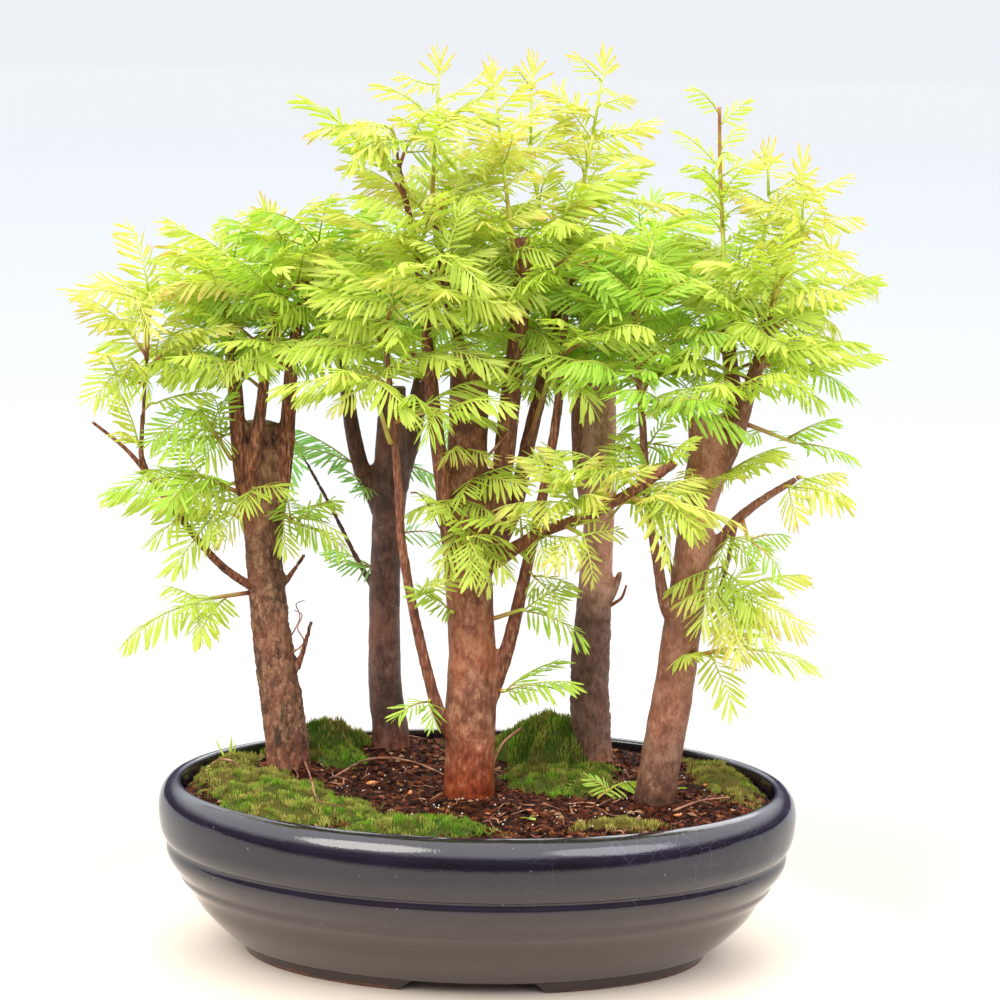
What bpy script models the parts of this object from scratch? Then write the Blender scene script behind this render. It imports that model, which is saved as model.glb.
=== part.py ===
"""Dawn redwood bonsai forest standing in its glazed oval tray.

Metres, +Z up. The origin is the middle of the tray on the ground, X runs along the tray's
length and -Y is the side the group is looked at from. Tables of points are in millimetres.
"""
import math
import random

import bpy
from mathutils import Vector

MM = 0.001
UP = Vector((0.0, 0.0, 1.0))
CLEARANCE = 0.0004

# Tray: half axes at its widest ring, and (height, inset from that ring) down each face.
TRAY_HALF_LENGTH = 0.150
TRAY_HALF_WIDTH = 0.111
TRAY_SEGMENTS = 36
TRAY_OUTSIDE = [
    (6.5, 36.0), (12.0, 29.5), (23.0, 19.2), (34.5, 11.2), (38.5, 9.8), (45.0, 5.0),
    (49.0, 3.9), (52.5, 4.3), (58.0, 1.4), (69.0, 0.0), (75.0, 0.8), (79.5, 3.8),
    (81.5, 7.0), (81.5, 9.5),
]
TRAY_INSIDE = [(78.0, 10.8), (42.0, 17.0), (15.0, 40.0)]
FOOT_TOP = 9.0
FOOT_PROFILE = [(0.0, 41.0), (FOOT_TOP, 36.5), (FOOT_TOP, 51.0), (0.0, 52.0)]
FOOT_GAP_HALF_TOP = 0.027
FOOT_GAP_HALF_BOTTOM = 0.034
FOOT_HEIGHT = 0.0065
FOOT_CUT_BELOW = 0.002
FOOT_CUT_TOP = 0.012
DRAIN_RADIUS = 0.007
DRAIN_OFFSET = 0.055
DRAIN_CUT_TOP = 0.030

# Soil: one tilted bed, higher at the back, with a lowered strip along the wall.
SOIL_MIDDLE = 0.0765
SOIL_SLOPE = 0.028
SOIL_STRIP_DROP = 0.0025
SOIL_TOP_INSET = 18.5
SOIL_SIDE = [(74.0, 12.2), (42.0, 17.6), (15.6, 40.6)]
HOLE_MARGIN = 0.0012
HOLE_DEPTH = 0.0012
HOLE_ABOVE_SOIL = 0.020
HOLE_SIDES = 14

# Moss cushions: (name, centre x and y, half lengths, turn in degrees, height) in millimetres.
MOSS = [
    ("moss_left", -92, -28, 30, 40, 18, 4.5),
    ("moss_front", -30, -68, 40, 15, 4, 3.5),
    ("moss_rear_left", -76, 64, 26, 15, 28, 12.0),
    ("moss_rear_right", 38, 54, 30, 24, 150, 21.0),
]
MOSS_EDGE = 0.0022
MOSS_EDGE_WAVE = (-0.14, 0.10)
MOSS_CROWN_POWER = 1.6
MOSS_TRUNK_REACH = 0.012
MOSS_HOLE_BELOW = 0.010
MOSS_HOLE_ABOVE = 0.034
MOSS_SECTORS = 12
MOSS_RINGS = 3

# Wood: for each tree its trunk and limbs as (x, y, z, radius) in millimetres.
TREES = {
    "left": {
        "trunk": [(-91, 28, 62, 11), (-92, 28, 89, 10.6), (-96, 28, 116, 10), (-101, 28, 150, 9.3),
                  (-104, 28, 179, 8.7), (-106, 28, 208, 8.6), (-107, 28, 232, 8), (-107, 28, 246, 7.6)],
        "low_limb": [(-103, 25, 166, 2.4), (-111, 20, 169, 2.2), (-126, 16, 181, 2), (-145, 12, 205, 1.8),
                     (-159, 10, 226, 1.6), (-160, 10, 243, 1.3), (-158, 12, 280, 1)],
        "low_twig": [(-157, 10, 222, 1.2), (-168, 6, 235, 0.9), (-182, 2, 247, 0.7)],
        "rise_left": [(-107, 27, 185, 4.5), (-112, 22, 209, 4.4), (-116, 22, 237, 4), (-119, 26, 268, 3.4),
                      (-123, 32, 293, 2.6), (-125, 36, 309, 1.8)],
        "rise_front": [(-104, 25, 192, 3.4), (-109, 19, 219, 3.2), (-105, 17, 257, 2.8),
                       (-102, 16, 281, 2.2), (-97, 14, 304, 1.6)],
        "rise_right": [(-101, 28, 192, 4.4), (-97, 30, 213, 4.2), (-94, 28, 237, 3.8), (-92, 25, 271, 3.2),
                       (-88, 22, 299, 2.4), (-81, 18, 321, 1.6)],
        "spur": [(-98, 28, 163, 1.8), (-93, 30, 170, 1.4), (-85, 32, 182, 1)],
        "dead_twig": [(-93, 26, 115, 2), (-87, 26, 129, 1.5), (-81, 25, 151, 1.1)],
    },
    "rear_left": {
        "trunk": [(-43, 69, 63, 10), (-44, 69, 86, 9.2), (-47, 69, 108, 8.3), (-48, 69, 133, 7.8),
                  (-48, 69, 163, 7.6), (-47, 69, 193, 7.8), (-46, 69, 218, 8.6), (-46, 69, 242, 7),
                  (-46, 71, 259, 6.6)],
        "rise_left": [(-50, 69, 200, 4.8), (-60, 67, 218, 4.2), (-65, 66, 238, 3.8), (-69, 67, 262, 3.2),
                      (-73, 73, 285, 2.4), (-80, 79, 307, 1.6)],
        "rise_right": [(-44, 69, 211, 5.4), (-37, 73, 232, 4.8), (-33, 75, 257, 4.2), (-28, 77, 286, 3.2),
                       (-24, 81, 310, 2.2)],
        "low_limb": [(-51, 70, 155, 1.8), (-62, 75, 172, 1.4), (-76, 79, 198, 1.2), (-93, 83, 227, 0.9)],
    },
    "middle": {
        "trunk": [(-3, -12, 58, 12.5), (-4, -12, 80, 12), (-4, -12, 99, 11.6), (-4, -12, 123, 11.9),
                  (-4, -12, 146, 11), (-6, -12, 175, 10.8), (-7, -12, 198, 10), (-8, -12, 226, 9.3),
                  (-8, -12, 254, 9.1), (-8, -12, 284, 8.8)],
        "stub_right": [(-1, -11, 187, 6), (4, -12, 208, 5.6), (8, -14, 231, 5), (11, -16, 264, 4.8),
                       (14, -17, 296, 4.4), (15, -18, 321, 3.9), (14, -18, 338, 3.8)],
        "rise_right": [(-2, -9, 180, 4.6), (13, -2, 209, 4), (20, 2, 243, 3.6), (27, 4, 276, 3.2),
                       (31, 6, 299, 2.7), (35, 10, 322, 2), (39, 14, 342, 1.4)],
        "low_right": [(1, -12, 116, 4.4), (10, -14, 140, 3.6), (15, -16, 160, 3.2), (21, -20, 191, 2.8),
                      (28, -22, 228, 2.4), (33, -22, 265, 2.2), (35, -20, 301, 1.6), (38, -18, 324, 1.1)],
        "near_limb": [(-3, -14, 185, 4), (6, -18, 190, 3.8), (17, -28, 199, 3.2), (30, -42, 209, 2.7),
                      (48, -54, 218, 2.5), (67, -62, 231, 2.5), (84, -66, 244, 2.3)],
        "rise_left": [(-12, -14, 182, 4.3), (-16, -20, 204, 4), (-19, -22, 227, 3.8), (-23, -22, 255, 3.4),
                      (-26, -20, 280, 3), (-29, -20, 305, 2.2), (-34, -22, 336, 1.8), (-40, -26, 363, 1.5),
                      (-42, -28, 376, 1)],
        "leader": [(-9, -12, 274, 3.4), (-16, -14, 300, 2.6), (-22, -16, 328, 2), (-26, -18, 350, 1.5)],
        "low_left": [(-9, -14, 104, 4), (-18, -20, 117, 3.2), (-25, -24, 141, 2.7), (-32, -28, 172, 2.4),
                     (-37, -30, 201, 2.2), (-39, -31, 228, 2), (-43, -32, 265, 1.7), (-46, -32, 298, 1.1)],
    },
    "rear_right": {
        "trunk": [(56, 46, 63, 10.6), (55, 46, 86, 9.8), (53, 46, 111, 9.6), (53, 46, 136, 9.2),
                  (54, 46, 165, 8.2), (55, 46, 194, 7.4), (55, 46, 224, 7), (55, 46, 248, 6.9),
                  (55, 46, 266, 6.6)],
        "rise_left": [(52, 47, 201, 4.2), (46, 50, 223, 3.8), (44, 50, 252, 3.6), (45, 50, 281, 3),
                      (48, 52, 309, 2.2)],
        "stub_right": [(56, 46, 155, 2.6), (63, 44, 165, 2), (66, 43, 175, 1.4)],
        "rise_right": [(55, 50, 234, 4.2), (58, 55, 261, 3.2), (60, 56, 285, 2.6), (63, 58, 309, 1.8)],
    },
    "right": {
        "trunk": [(81, -19, 61, 10), (83, -19, 84, 9.6), (86, -19, 107, 9.5), (90, -19, 136, 9.2),
                  (93, -19, 164, 8.8), (96, -19, 192, 8.4), (98, -19, 220, 8.2), (101, -19, 241, 8.3),
                  (100, -19, 259, 7.9)],
        "rise_mid": [(99, -18, 212, 5), (109, -15, 241, 4.6), (113, -15, 262, 4.2), (110, -14, 289, 3.4),
                     (108, -13, 312, 2.4)],
        "rise_right": [(106, -18, 232, 4.4), (114, -22, 251, 4), (119, -24, 272, 3.4), (124, -25, 290, 2.9),
                       (127, -26, 306, 2.2)],
        "rise_left": [(91, -21, 160, 3.6), (84, -27, 173, 3), (79, -30, 196, 2.4), (74, -32, 222, 2.1),
                      (71, -33, 254, 1.9), (68, -33, 281, 1.6), (65, -31, 308, 1.1)],
        "spur": [(93, -17, 175, 2), (88, -12, 184, 1.5), (82, -9, 202, 1.2)],
        "right_limb": [(99, -19, 190, 3.6), (107, -21, 200, 2.8), (115, -25, 212, 2.4), (127, -29, 223, 2),
                       (141, -33, 233, 1.6)],
        "hanging_twig": [(115, -25, 212, 1.1), (112, -27, 194, 0.9), (108, -28, 179, 0.7)],
    },
}
TRUNK_SIDES = 9
LIMB_SIDES = 6
TWIG_SIDES = 4
TWIG_RADIUS = 0.0025

# Leafy shoots: (name, tree, limb, share of the way along it, points the stem bends through and
# the leaf tip, side fronds, frond length, tone, seed). A frond length of 0 ends in a bare stem.
SHOOTS = [
    ("left_tip", "left", "low_limb", 1.0, [(-157, 4, 304), (-182, -24, 310)], 1, 42, "gold", 28),
    ("left_droop", "left", "low_limb", 0.93, [(-162, 0, 280), (-179, -14, 261)], 1, 42, "lime", 51),
    ("left_up", "left", "low_limb", 0.97, [(-157, 18, 308), (-169, 26, 335)], 1, 44, "gold", 75),
    ("left_crown_up", "left", "rise_left", 1.0, [(-128, 52, 341)], 2, 40, "gold", 119),
    ("left_crown_back", "left", "rise_left", 0.88, [(-136, 58, 297), (-160, 76, 316)], 2, 42, "green", 33),
    ("left_top", "left", "rise_front", 1.0, [(-91, 4, 335), (-108, -8, 357)], 1, 42, "gold", 49),
    ("left_front", "left", "rise_front", 0.85, [(-97, -10, 289), (-115, -34, 288)], 1, 44, "lime", 69),
    ("left_front_right", "left", "rise_right", 0.9, [(-67, -16, 302), (-52, -34, 296)], 1, 40, "lime", 18),
    ("left_arch", "left", "rise_left", 0.36, [(-131, 10, 255), (-155, 2, 239)], 1, 46, "green", 51),
    ("left_mid", "left", "rise_left", 0.24, [(-137, 8, 226), (-170, -4, 215)], 1, 44, "green", 74),
    ("left_inner", "left", "rise_right", 0.08, [(-86, 16, 202), (-67, 8, 189)], 1, 36, "green", 55),
    ("left_low", "left", "trunk", 0.56, [(-131, 14, 164), (-167, 4, 143)], 1, 48, "lime", 55),
    ("rear_left_top", "rear_left", "rise_left", 1.0, [(-104, 98, 344)], 2, 44, "green", 52),
    ("rear_left_up", "rear_left", "rise_right", 1.0, [(-35, 92, 332), (-39, 97, 352)], 2, 42, "green", 14),
    ("rear_left_mid", "rear_left", "rise_right", 0.8, [(-50, 58, 307), (-69, 52, 328)], 2, 44, "green", 58),
    ("rear_left_low", "rear_left", "low_limb", 1.0, [(-98, 98, 208)], 1, 38, "teal", 92),
    ("rear_left_inner", "rear_left", "rise_right", 0.4, [(-18, 100, 229)], 1, 40, "teal", 36),
    ("leader_left", "middle", "rise_left", 1.0, [(-48, -30, 386), (-77, -34, 385)], 1, 34, "gold", 54),
    ("leader_apex", "middle", "leader", 1.0, [(-25, -22, 385), (-23, -24, 423)], 4, 38, "gold", 61),
    ("leader_mid", "middle", "stub_right", 0.97, [(4, -24, 373), (0, -28, 408)], 2, 42, "gold", 69),
    ("leader_rear", "middle", "rise_right", 0.84, [(18, 22, 372), (19, 27, 412)], 2, 34, "gold", 12),
    ("leader_right", "middle", "rise_right", 1.0, [(43, 16, 372), (51, 18, 417)], 4, 33, "gold", 95),
    ("middle_left", "middle", "low_left", 1.0, [(-69, -58, 303)], 2, 44, "lime", 106),
    ("middle_front", "middle", "rise_left", 0.62, [(-21, -52, 329), (-3, -76, 321)], 2, 46, "lime", 111),
    ("middle_fan_left", "middle", "low_left", 0.74, [(-48, -48, 271), (-65, -62, 266)], 0, 38, "gold", 1),
    ("middle_fan_right", "middle", "rise_right", 0.42,
     [(33, -30, 283), (46, -50, 267)], 1, 40, "lime", 107),
    ("middle_right_top", "middle", "low_right", 1.0, [(52, -50, 318)], 1, 44, "green", 92),
    ("trunk_front", "middle", "trunk", 0.62, [(-6, -46, 208), (4, -58, 186)], 1, 42, "lime", 99),
    ("trunk_side_left", "middle", "trunk", 0.48, [(-30, -40, 178)], 0, 26, "green", 6),
    ("trunk_side_right", "middle", "trunk", 0.46, [(15, -20, 172), (44, -28, 159)], 1, 44, "green", 22),
    ("trunk_low_right", "middle", "low_right", 0.07, [(41, -32, 138)], 1, 38, "green", 99),
    ("near_up", "middle", "near_limb", 0.62, [(40, -66, 231), (16, -72, 246)], 1, 42, "gold", 31),
    ("near_down", "middle", "near_limb", 0.52, [(41, -68, 211), (49, -74, 193)], 1, 44, "gold", 54),
    ("near_right", "middle", "near_limb", 0.8, [(78, -74, 226), (110, -78, 221)], 1, 44, "gold", 29),
    ("rear_right_up", "rear_right", "rise_left", 1.0, [(14, 86, 347)], 2, 44, "green", 46),
    ("rear_right_top", "rear_right", "rise_right", 1.0, [(78, 78, 349)], 2, 44, "green", 90),
    ("rear_right_mid", "rear_right", "trunk", 0.84, [(74, 42, 236), (97, 38, 235)], 1, 38, "green", 103),
    ("stick", "right", "rise_mid", 1.0, [(102, -10, 366), (101, -10, 398)], 2, 0, "lime", 68),
    ("right_leader_mid", "right", "rise_mid", 0.82, [(125, -2, 350), (126, 4, 387)], 2, 30, "gold", 6),
    ("right_leader", "right", "rise_right", 1.0, [(137, -22, 344), (140, -20, 380)], 4, 36, "gold", 110),
    ("right_tip", "right", "rise_right", 0.92, [(153, 4, 329), (183, 30, 316)], 1, 42, "gold", 2),
    ("right_mid", "right", "rise_right", 0.7, [(138, -10, 288), (165, 6, 269)], 1, 42, "green", 24),
    ("right_lower", "right", "rise_right", 0.34, [(140, -12, 249), (166, -2, 240)], 1, 42, "green", 24),
    ("right_end", "right", "right_limb", 1.0, [(164, -42, 226)], 0, 30, "lime", 1),
    ("right_hang", "right", "right_limb", 0.5, [(116, -38, 210), (132, -46, 194)], 1, 34, "green", 22),
    ("right_cluster", "right", "hanging_twig", 1.0, [(108, -36, 173), (129, -56, 163)], 1, 42, "lime", 54),
    ("right_low", "right", "trunk", 0.45, [(108, -36, 155), (147, -44, 151)], 1, 48, "lime", 54),
    ("right_inner", "right", "rise_left", 1.0, [(73, -44, 341)], 2, 42, "green", 10),
]

STEM_RADIUS = 0.0012
STEM_TIP_RADIUS = 0.0008
STEM_SIDES = 4
STEM_COLLAR = 0.0016
STEM_WANDER = 0.004
TIP_WANDER = 0.0015
PETIOLE = 0.0028
LEAFLET_PITCH = 0.0078
LEAFLET_LENGTH = 0.0140
LEAFLET_FULL_FROM = 0.036
LEAFLET_SLANT = math.radians(58.0)
LEAFLET_DROP = 0.16
LEAFLET_SET = 0.45
LEAFLET_PAIRS_LEAST = 4
# A leaflet's length along the frond: its least share, the swell added to that, and the stretch
# of a half wave that the swell follows.
LEAFLET_LEAST = 0.57
LEAFLET_SWELL = 0.51
LEAFLET_WAVE = (0.12, 0.80)
FROND_TIP = 0.6
FROND_SETBACK = 0.5
FACING_UP = 0.9
FACING_LEAN = ((-0.5, 0.5), (-0.9, 0.2))
RIB_HALF_WIDTH = 0.0007
BLADE = 0.0008
SIDE_FROND_SHARE = 0.86
BARE_STEM_FROND = 0.036
SIDE_FROND_ANGLE = math.radians(56.0)
SIDE_FROND_SPREAD = 0.25
SIDE_FROND_LIFT = (-0.25, 0.35)
SIDE_FROND_LEAN = ((-0.4, 0.4), (-0.5, 0.3))
SIDE_FROND_SIZE = (0.85, 1.05)
# Side fronds sit in pairs down the stem: the first pair's share, the steps to the next frond and
# the next pair, and the lowest share that one may have.
SIDE_FROND_FIRST = 0.96
SIDE_FROND_STAGGER = 0.06
SIDE_FROND_STEP = 0.30
SIDE_FROND_LOWEST = 0.3
END_FROND_MOST = 0.94
ARCH = (0.10, 0.45)

# Plainer sprays that fill out the crown between the cut fronds, by shoot: (share of the way along
# its stem, heading, lean of its upper face, length in millimetres, arch).
CROWN_SPRAYS = {
    "left_crown_back": [(0.253, (0.86, 0.51, -0.02), (-0.58, -0.52), 42, 0.36)],
    "left_top": [(0.234, (-0.93, -0.37, 0.02), (-0.50, -0.21), 49, 0.25)],
    "left_front": [(0.439, (0.97, -0.15, -0.18), (0.56, -0.79), 50, 0.11)],
    "left_front_right": [(0.324, (0.77, -0.10, 0.63), (0.38, 0.20), 48, 0.16)],
    "rear_left_mid": [(0.319, (-0.74, -0.63, -0.22), (-0.38, 0.27), 50, 0.28),
                      (0.656, (0.65, -0.69, 0.31), (-0.13, 0.04), 40, 0.39)],
    "leader_apex": [(0.209, (-0.26, 0.94, 0.22), (-0.44, -0.01), 42, 0.38)],
    "leader_mid": [(0.209, (-0.68, 0.73, 0.10), (-0.03, 0.14), 47, 0.12)],
    "leader_rear": [(0.169, (-0.99, 0.10, -0.07), (0.12, 0.03), 47, 0.16),
                    (0.331, (0.34, -0.83, 0.45), (0.21, 0.12), 45, 0.15)],
    "leader_right": [(0.284, (0.98, 0.17, -0.05), (0.37, 0.12), 46, 0.13)],
    "middle_front": [(0.422, (0.99, -0.11, -0.01), (0.03, -0.60), 46, 0.35)],
    "rear_right_up": [(0.480, (-0.76, 0.61, -0.24), (0.53, -0.26), 48, 0.22)],
    "right_leader": [(0.199, (0.48, -0.87, 0.11), (-0.40, -0.08), 48, 0.29)],
    "right_tip": [(0.350, (-0.47, 0.88, -0.07), (-0.53, 0.14), 49, 0.14)],
}
SPRAY_HALF_WIDTH = 0.0120
# (share of the length, share of the half width) from the foot: two notches a side
SPRAY_OUTLINE = ((0.0, 0.06), (0.36, 1.0), (0.42, 0.42), (0.70, 0.88), (0.75, 0.34))

# Colours, linear, as the photo shows them.
GLAZE = (0.012, 0.014, 0.024)
SOIL = (0.055, 0.030, 0.018)
MOSS_GREEN = (0.115, 0.185, 0.020)
BARK = {
    "left": (0.155, 0.110, 0.075),
    "rear_left": (0.120, 0.075, 0.060),
    "middle": (0.240, 0.110, 0.070),
    "rear_right": (0.130, 0.085, 0.070),
    "right": (0.190, 0.125, 0.095),
}
NEEDLE = {
    "gold": (0.60, 0.68, 0.10),
    "lime": (0.40, 0.62, 0.06),
    "green": (0.20, 0.45, 0.04),
    "teal": (0.08, 0.35, 0.14),
}
GLAZE_ROUGHNESS = 0.08
MATT_ROUGHNESS = 0.92
BARK_ROUGHNESS = 0.85
NEEDLE_ROUGHNESS = 0.6


def clear_scene():
    for item in list(bpy.data.objects):
        bpy.data.objects.remove(item, do_unlink=True)


def paint(item, name, colour, roughness):
    material = bpy.data.materials.new(name)
    material.use_nodes = True
    shader = material.node_tree.nodes["Principled BSDF"]
    shader.inputs["Base Color"].default_value = (*colour, 1.0)
    shader.inputs["Roughness"].default_value = roughness
    item.data.materials.append(material)


def make_object(name, points, faces, smooth=False):
    mesh = bpy.data.meshes.new(name)
    mesh.from_pydata([tuple(p) for p in points], [], faces)
    mesh.update()
    item = bpy.data.objects.new(name, mesh)
    bpy.context.scene.collection.objects.link(item)
    for polygon in mesh.polygons:
        polygon.use_smooth = smooth
    return item


def combine(item, others, operation):
    """Apply one Boolean of item with all the others, then remove the others."""
    if not others:
        return
    group = bpy.data.collections.new("operands")
    for other in others:
        group.objects.link(other)
    modifier = item.modifiers.new("combine", "BOOLEAN")
    modifier.operation = operation
    modifier.operand_type = "COLLECTION"
    modifier.collection = group
    modifier.solver = "EXACT"
    depsgraph = bpy.context.evaluated_depsgraph_get()
    mesh = bpy.data.meshes.new_from_object(item.evaluated_get(depsgraph))
    mesh.name = item.name
    item.modifiers.clear()
    item.data = mesh
    for other in others:
        bpy.data.objects.remove(other, do_unlink=True)
    bpy.data.collections.remove(group)


def ellipse_ring(height, inset):
    a = TRAY_HALF_LENGTH - inset * MM
    b = TRAY_HALF_WIDTH - inset * MM
    turns = [2.0 * math.pi * i / TRAY_SEGMENTS for i in range(TRAY_SEGMENTS)]
    return [Vector((a * math.cos(t), b * math.sin(t), height * MM)) for t in turns]


def ring_faces(count, size, closed=False):
    """Quads between successive rings, plus a cap at each end unless the rings close up."""
    faces = []
    for j in range(count if closed else count - 1):
        low = j * size
        high = ((j + 1) % count) * size
        for i in range(size):
            k = (i + 1) % size
            faces.append((low + i, low + k, high + k, high + i))
    if not closed:
        faces.append(tuple(reversed(range(size))))
        faces.append(tuple(range((count - 1) * size, count * size)))
    return faces


def prism(name, outline, low, high):
    """Upright prism on an outline of (x, y) points."""
    points = [Vector((x, y, low)) for x, y in outline] + [Vector((x, y, high)) for x, y in outline]
    return make_object(name, points, ring_faces(2, len(outline)))


def disc(x, y, radius, sides):
    turns = [2.0 * math.pi * i / sides for i in range(sides)]
    return [(x + radius * math.cos(t), y + radius * math.sin(t)) for t in turns]


def build_tray():
    """Glazed bowl with two thrown rings, two drain holes and a foot ring cut front and back."""
    rings = TRAY_OUTSIDE + TRAY_INSIDE
    points = [p for height, inset in rings for p in ellipse_ring(height, inset)]
    tray = make_object("tray", points, ring_faces(len(rings), TRAY_SEGMENTS), smooth=True)
    points = [p for height, inset in reversed(FOOT_PROFILE) for p in ellipse_ring(height, inset)]
    foot = make_object("foot", points, ring_faces(len(FOOT_PROFILE), TRAY_SEGMENTS, closed=True))
    section = [
        (-FOOT_GAP_HALF_BOTTOM, -FOOT_CUT_BELOW), (FOOT_GAP_HALF_BOTTOM, -FOOT_CUT_BELOW),
        (FOOT_GAP_HALF_BOTTOM, 0.0), (FOOT_GAP_HALF_TOP, FOOT_HEIGHT),
        (FOOT_GAP_HALF_TOP, FOOT_CUT_TOP), (-FOOT_GAP_HALF_TOP, FOOT_CUT_TOP),
        (-FOOT_GAP_HALF_TOP, FOOT_HEIGHT), (-FOOT_GAP_HALF_BOTTOM, 0.0),
    ]
    reach = TRAY_HALF_WIDTH
    front = [Vector((x, -reach, z)) for x, z in section]
    back = [Vector((x, reach, z)) for x, z in section]
    gap = make_object("gap", back + front, ring_faces(2, len(section)))
    combine(foot, [gap], "DIFFERENCE")
    combine(tray, [foot], "UNION")
    drains = [
        prism("drain", disc(side * DRAIN_OFFSET, 0.0, DRAIN_RADIUS, HOLE_SIDES), 0.0, DRAIN_CUT_TOP)
        for side in (-1, 1)
    ]
    combine(tray, drains, "DIFFERENCE")
    paint(tray, "tray", GLAZE, GLAZE_ROUGHNESS)
    return tray


def soil_height(y):
    return SOIL_MIDDLE + SOIL_SLOPE * y


def trunk_hole(tree, low, high):
    """Upright cutter round the foot of a trunk, wide enough for its lean between two heights."""
    foot = TREES[tree]["trunk"][:3]
    near = [at_height(foot, z) for z in (low, high)]
    x = 0.5 * (near[0][0] + near[1][0])
    y = 0.5 * (near[0][1] + near[1][1])
    lean = 0.5 * math.hypot(near[0][0] - near[1][0], near[0][1] - near[1][1])
    radius = max(near[0][2], near[1][2]) + lean + HOLE_MARGIN
    return prism("hole", disc(x, y, radius, HOLE_SIDES), low, high)


def at_height(line, height):
    """Place and radius, in metres, where a trunk's line passes a height."""
    for a, b in zip(line, line[1:]):
        if height <= b[2] * MM:
            break
    share = (height - a[2] * MM) / ((b[2] - a[2]) * MM)
    share = min(1.0, max(0.0, share))
    return [(a[i] + (b[i] - a[i]) * share) * MM for i in (0, 1, 3)]


def build_soil():
    """Bed that fills the bowl, with a plain hole where each trunk stands."""
    rings = []
    for height, inset in reversed(SOIL_SIDE):
        rings.append(ellipse_ring(height, inset))
    for p in rings[-1]:
        p.z = soil_height(p.y) - SOIL_STRIP_DROP
    top = ellipse_ring(0.0, SOIL_TOP_INSET)
    for p in top:
        p.z = soil_height(p.y)
    rings.append(top)
    points = [p for ring in rings for p in ring]
    soil = make_object("soil", points, ring_faces(len(rings), TRAY_SEGMENTS))
    holes = []
    for tree, limbs in TREES.items():
        foot = limbs["trunk"][0][2] * MM
        holes.append(trunk_hole(tree, foot - HOLE_DEPTH, SOIL_MIDDLE + HOLE_ABOVE_SOIL))
    combine(soil, holes, "DIFFERENCE")
    paint(soil, "soil", SOIL, MATT_ROUGHNESS)
    return soil


def build_moss(name, x, y, long, wide, turn, height):
    """Cushion that lies on the soil, cut back from any trunk it would reach."""
    dice = random.Random(name)
    turn = math.radians(turn)
    top = []
    bottom = []
    edge = [1.0 + dice.uniform(*MOSS_EDGE_WAVE) for _ in range(MOSS_SECTORS)]
    for j in range(MOSS_RINGS):
        share = (j + 1) / MOSS_RINGS
        for i in range(MOSS_SECTORS):
            angle = 2.0 * math.pi * i / MOSS_SECTORS
            u = long * math.cos(angle) * share * edge[i] * MM
            v = wide * math.sin(angle) * share * edge[i] * MM
            px = x * MM + u * math.cos(turn) - v * math.sin(turn)
            py = y * MM + u * math.sin(turn) + v * math.cos(turn)
            ground = soil_height(py) + CLEARANCE
            rise = MOSS_EDGE + height * MM * (1.0 - share ** MOSS_CROWN_POWER)
            top.append(Vector((px, py, ground + rise)))
            bottom.append(Vector((px, py, ground)))
    low = bottom[-MOSS_SECTORS:]
    points = low + list(reversed_rings(top, MOSS_SECTORS))
    ground = soil_height(y * MM) + CLEARANCE
    points.append(Vector((x * MM, y * MM, ground + MOSS_EDGE + height * MM)))
    count = MOSS_RINGS + 1
    faces = ring_faces(count, MOSS_SECTORS)[:-1]
    last = (count - 1) * MOSS_SECTORS
    for i in range(MOSS_SECTORS):
        faces.append((last + i, last + (i + 1) % MOSS_SECTORS, last + MOSS_SECTORS))
    moss = make_object(name, points, faces)
    reach = max(long, wide) * MM + MOSS_TRUNK_REACH
    holes = []
    for tree, limbs in TREES.items():
        foot = limbs["trunk"][1]
        if math.hypot(foot[0] * MM - x * MM, foot[1] * MM - y * MM) < reach:
            low, high = SOIL_MIDDLE - MOSS_HOLE_BELOW, SOIL_MIDDLE + MOSS_HOLE_ABOVE
            holes.append(trunk_hole(tree, low, high))
    combine(moss, holes, "DIFFERENCE")
    paint(moss, name, MOSS_GREEN, MATT_ROUGHNESS)
    return moss


def reversed_rings(points, size):
    """Yield rings from the outermost to the innermost."""
    for start in range(len(points) - size, -1, -size):
        yield from points[start:start + size]


def line_direction(points):
    return (points[-1] - points[0]).normalized()


def ring_frame(direction, tangent):
    """Two axes across a bar: the same reference serves the whole of its line."""
    reference = Vector((0.0, 1.0, 0.0)) if abs(direction.y) < 0.8 else Vector((1.0, 0.0, 0.0))
    side = tangent.cross(reference).normalized()
    return side, tangent.cross(side)


def tube(points, radii, sides):
    """Round bar along a line of points, as vertices and faces."""
    verts = []
    for i, (centre, radius) in enumerate(zip(points, radii)):
        before = points[max(0, i - 1)]
        after = points[min(len(points) - 1, i + 1)]
        side, other = ring_frame(line_direction(points), (after - before).normalized())
        for k in range(sides):
            turn = 2.0 * math.pi * k / sides
            verts.append(centre + (side * math.cos(turn) + other * math.sin(turn)) * radius)
    return verts, ring_faces(len(points), sides)


def in_metres(line):
    return [Vector(p[:3]) * MM for p in line], [p[3] * MM for p in line]


def limb_sides(limb, line):
    if limb == "trunk":
        return TRUNK_SIDES
    return TWIG_SIDES if line[0][3] * MM < TWIG_RADIUS else LIMB_SIDES


def build_tree(name, limbs):
    """Trunk with its limbs and twigs, each limb started inside the wood that bears it."""
    bars = []
    for limb, line in limbs.items():
        points, radii = in_metres(line)
        verts, faces = tube(points, radii, limb_sides(limb, line))
        bars.append(make_object(limb, verts, faces, smooth=True))
    wood = bars[0]
    wood.name = "wood_" + name
    combine(wood, bars[1:], "UNION")
    paint(wood, "wood_" + name, BARK[name], BARK_ROUGHNESS)
    return wood


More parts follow.
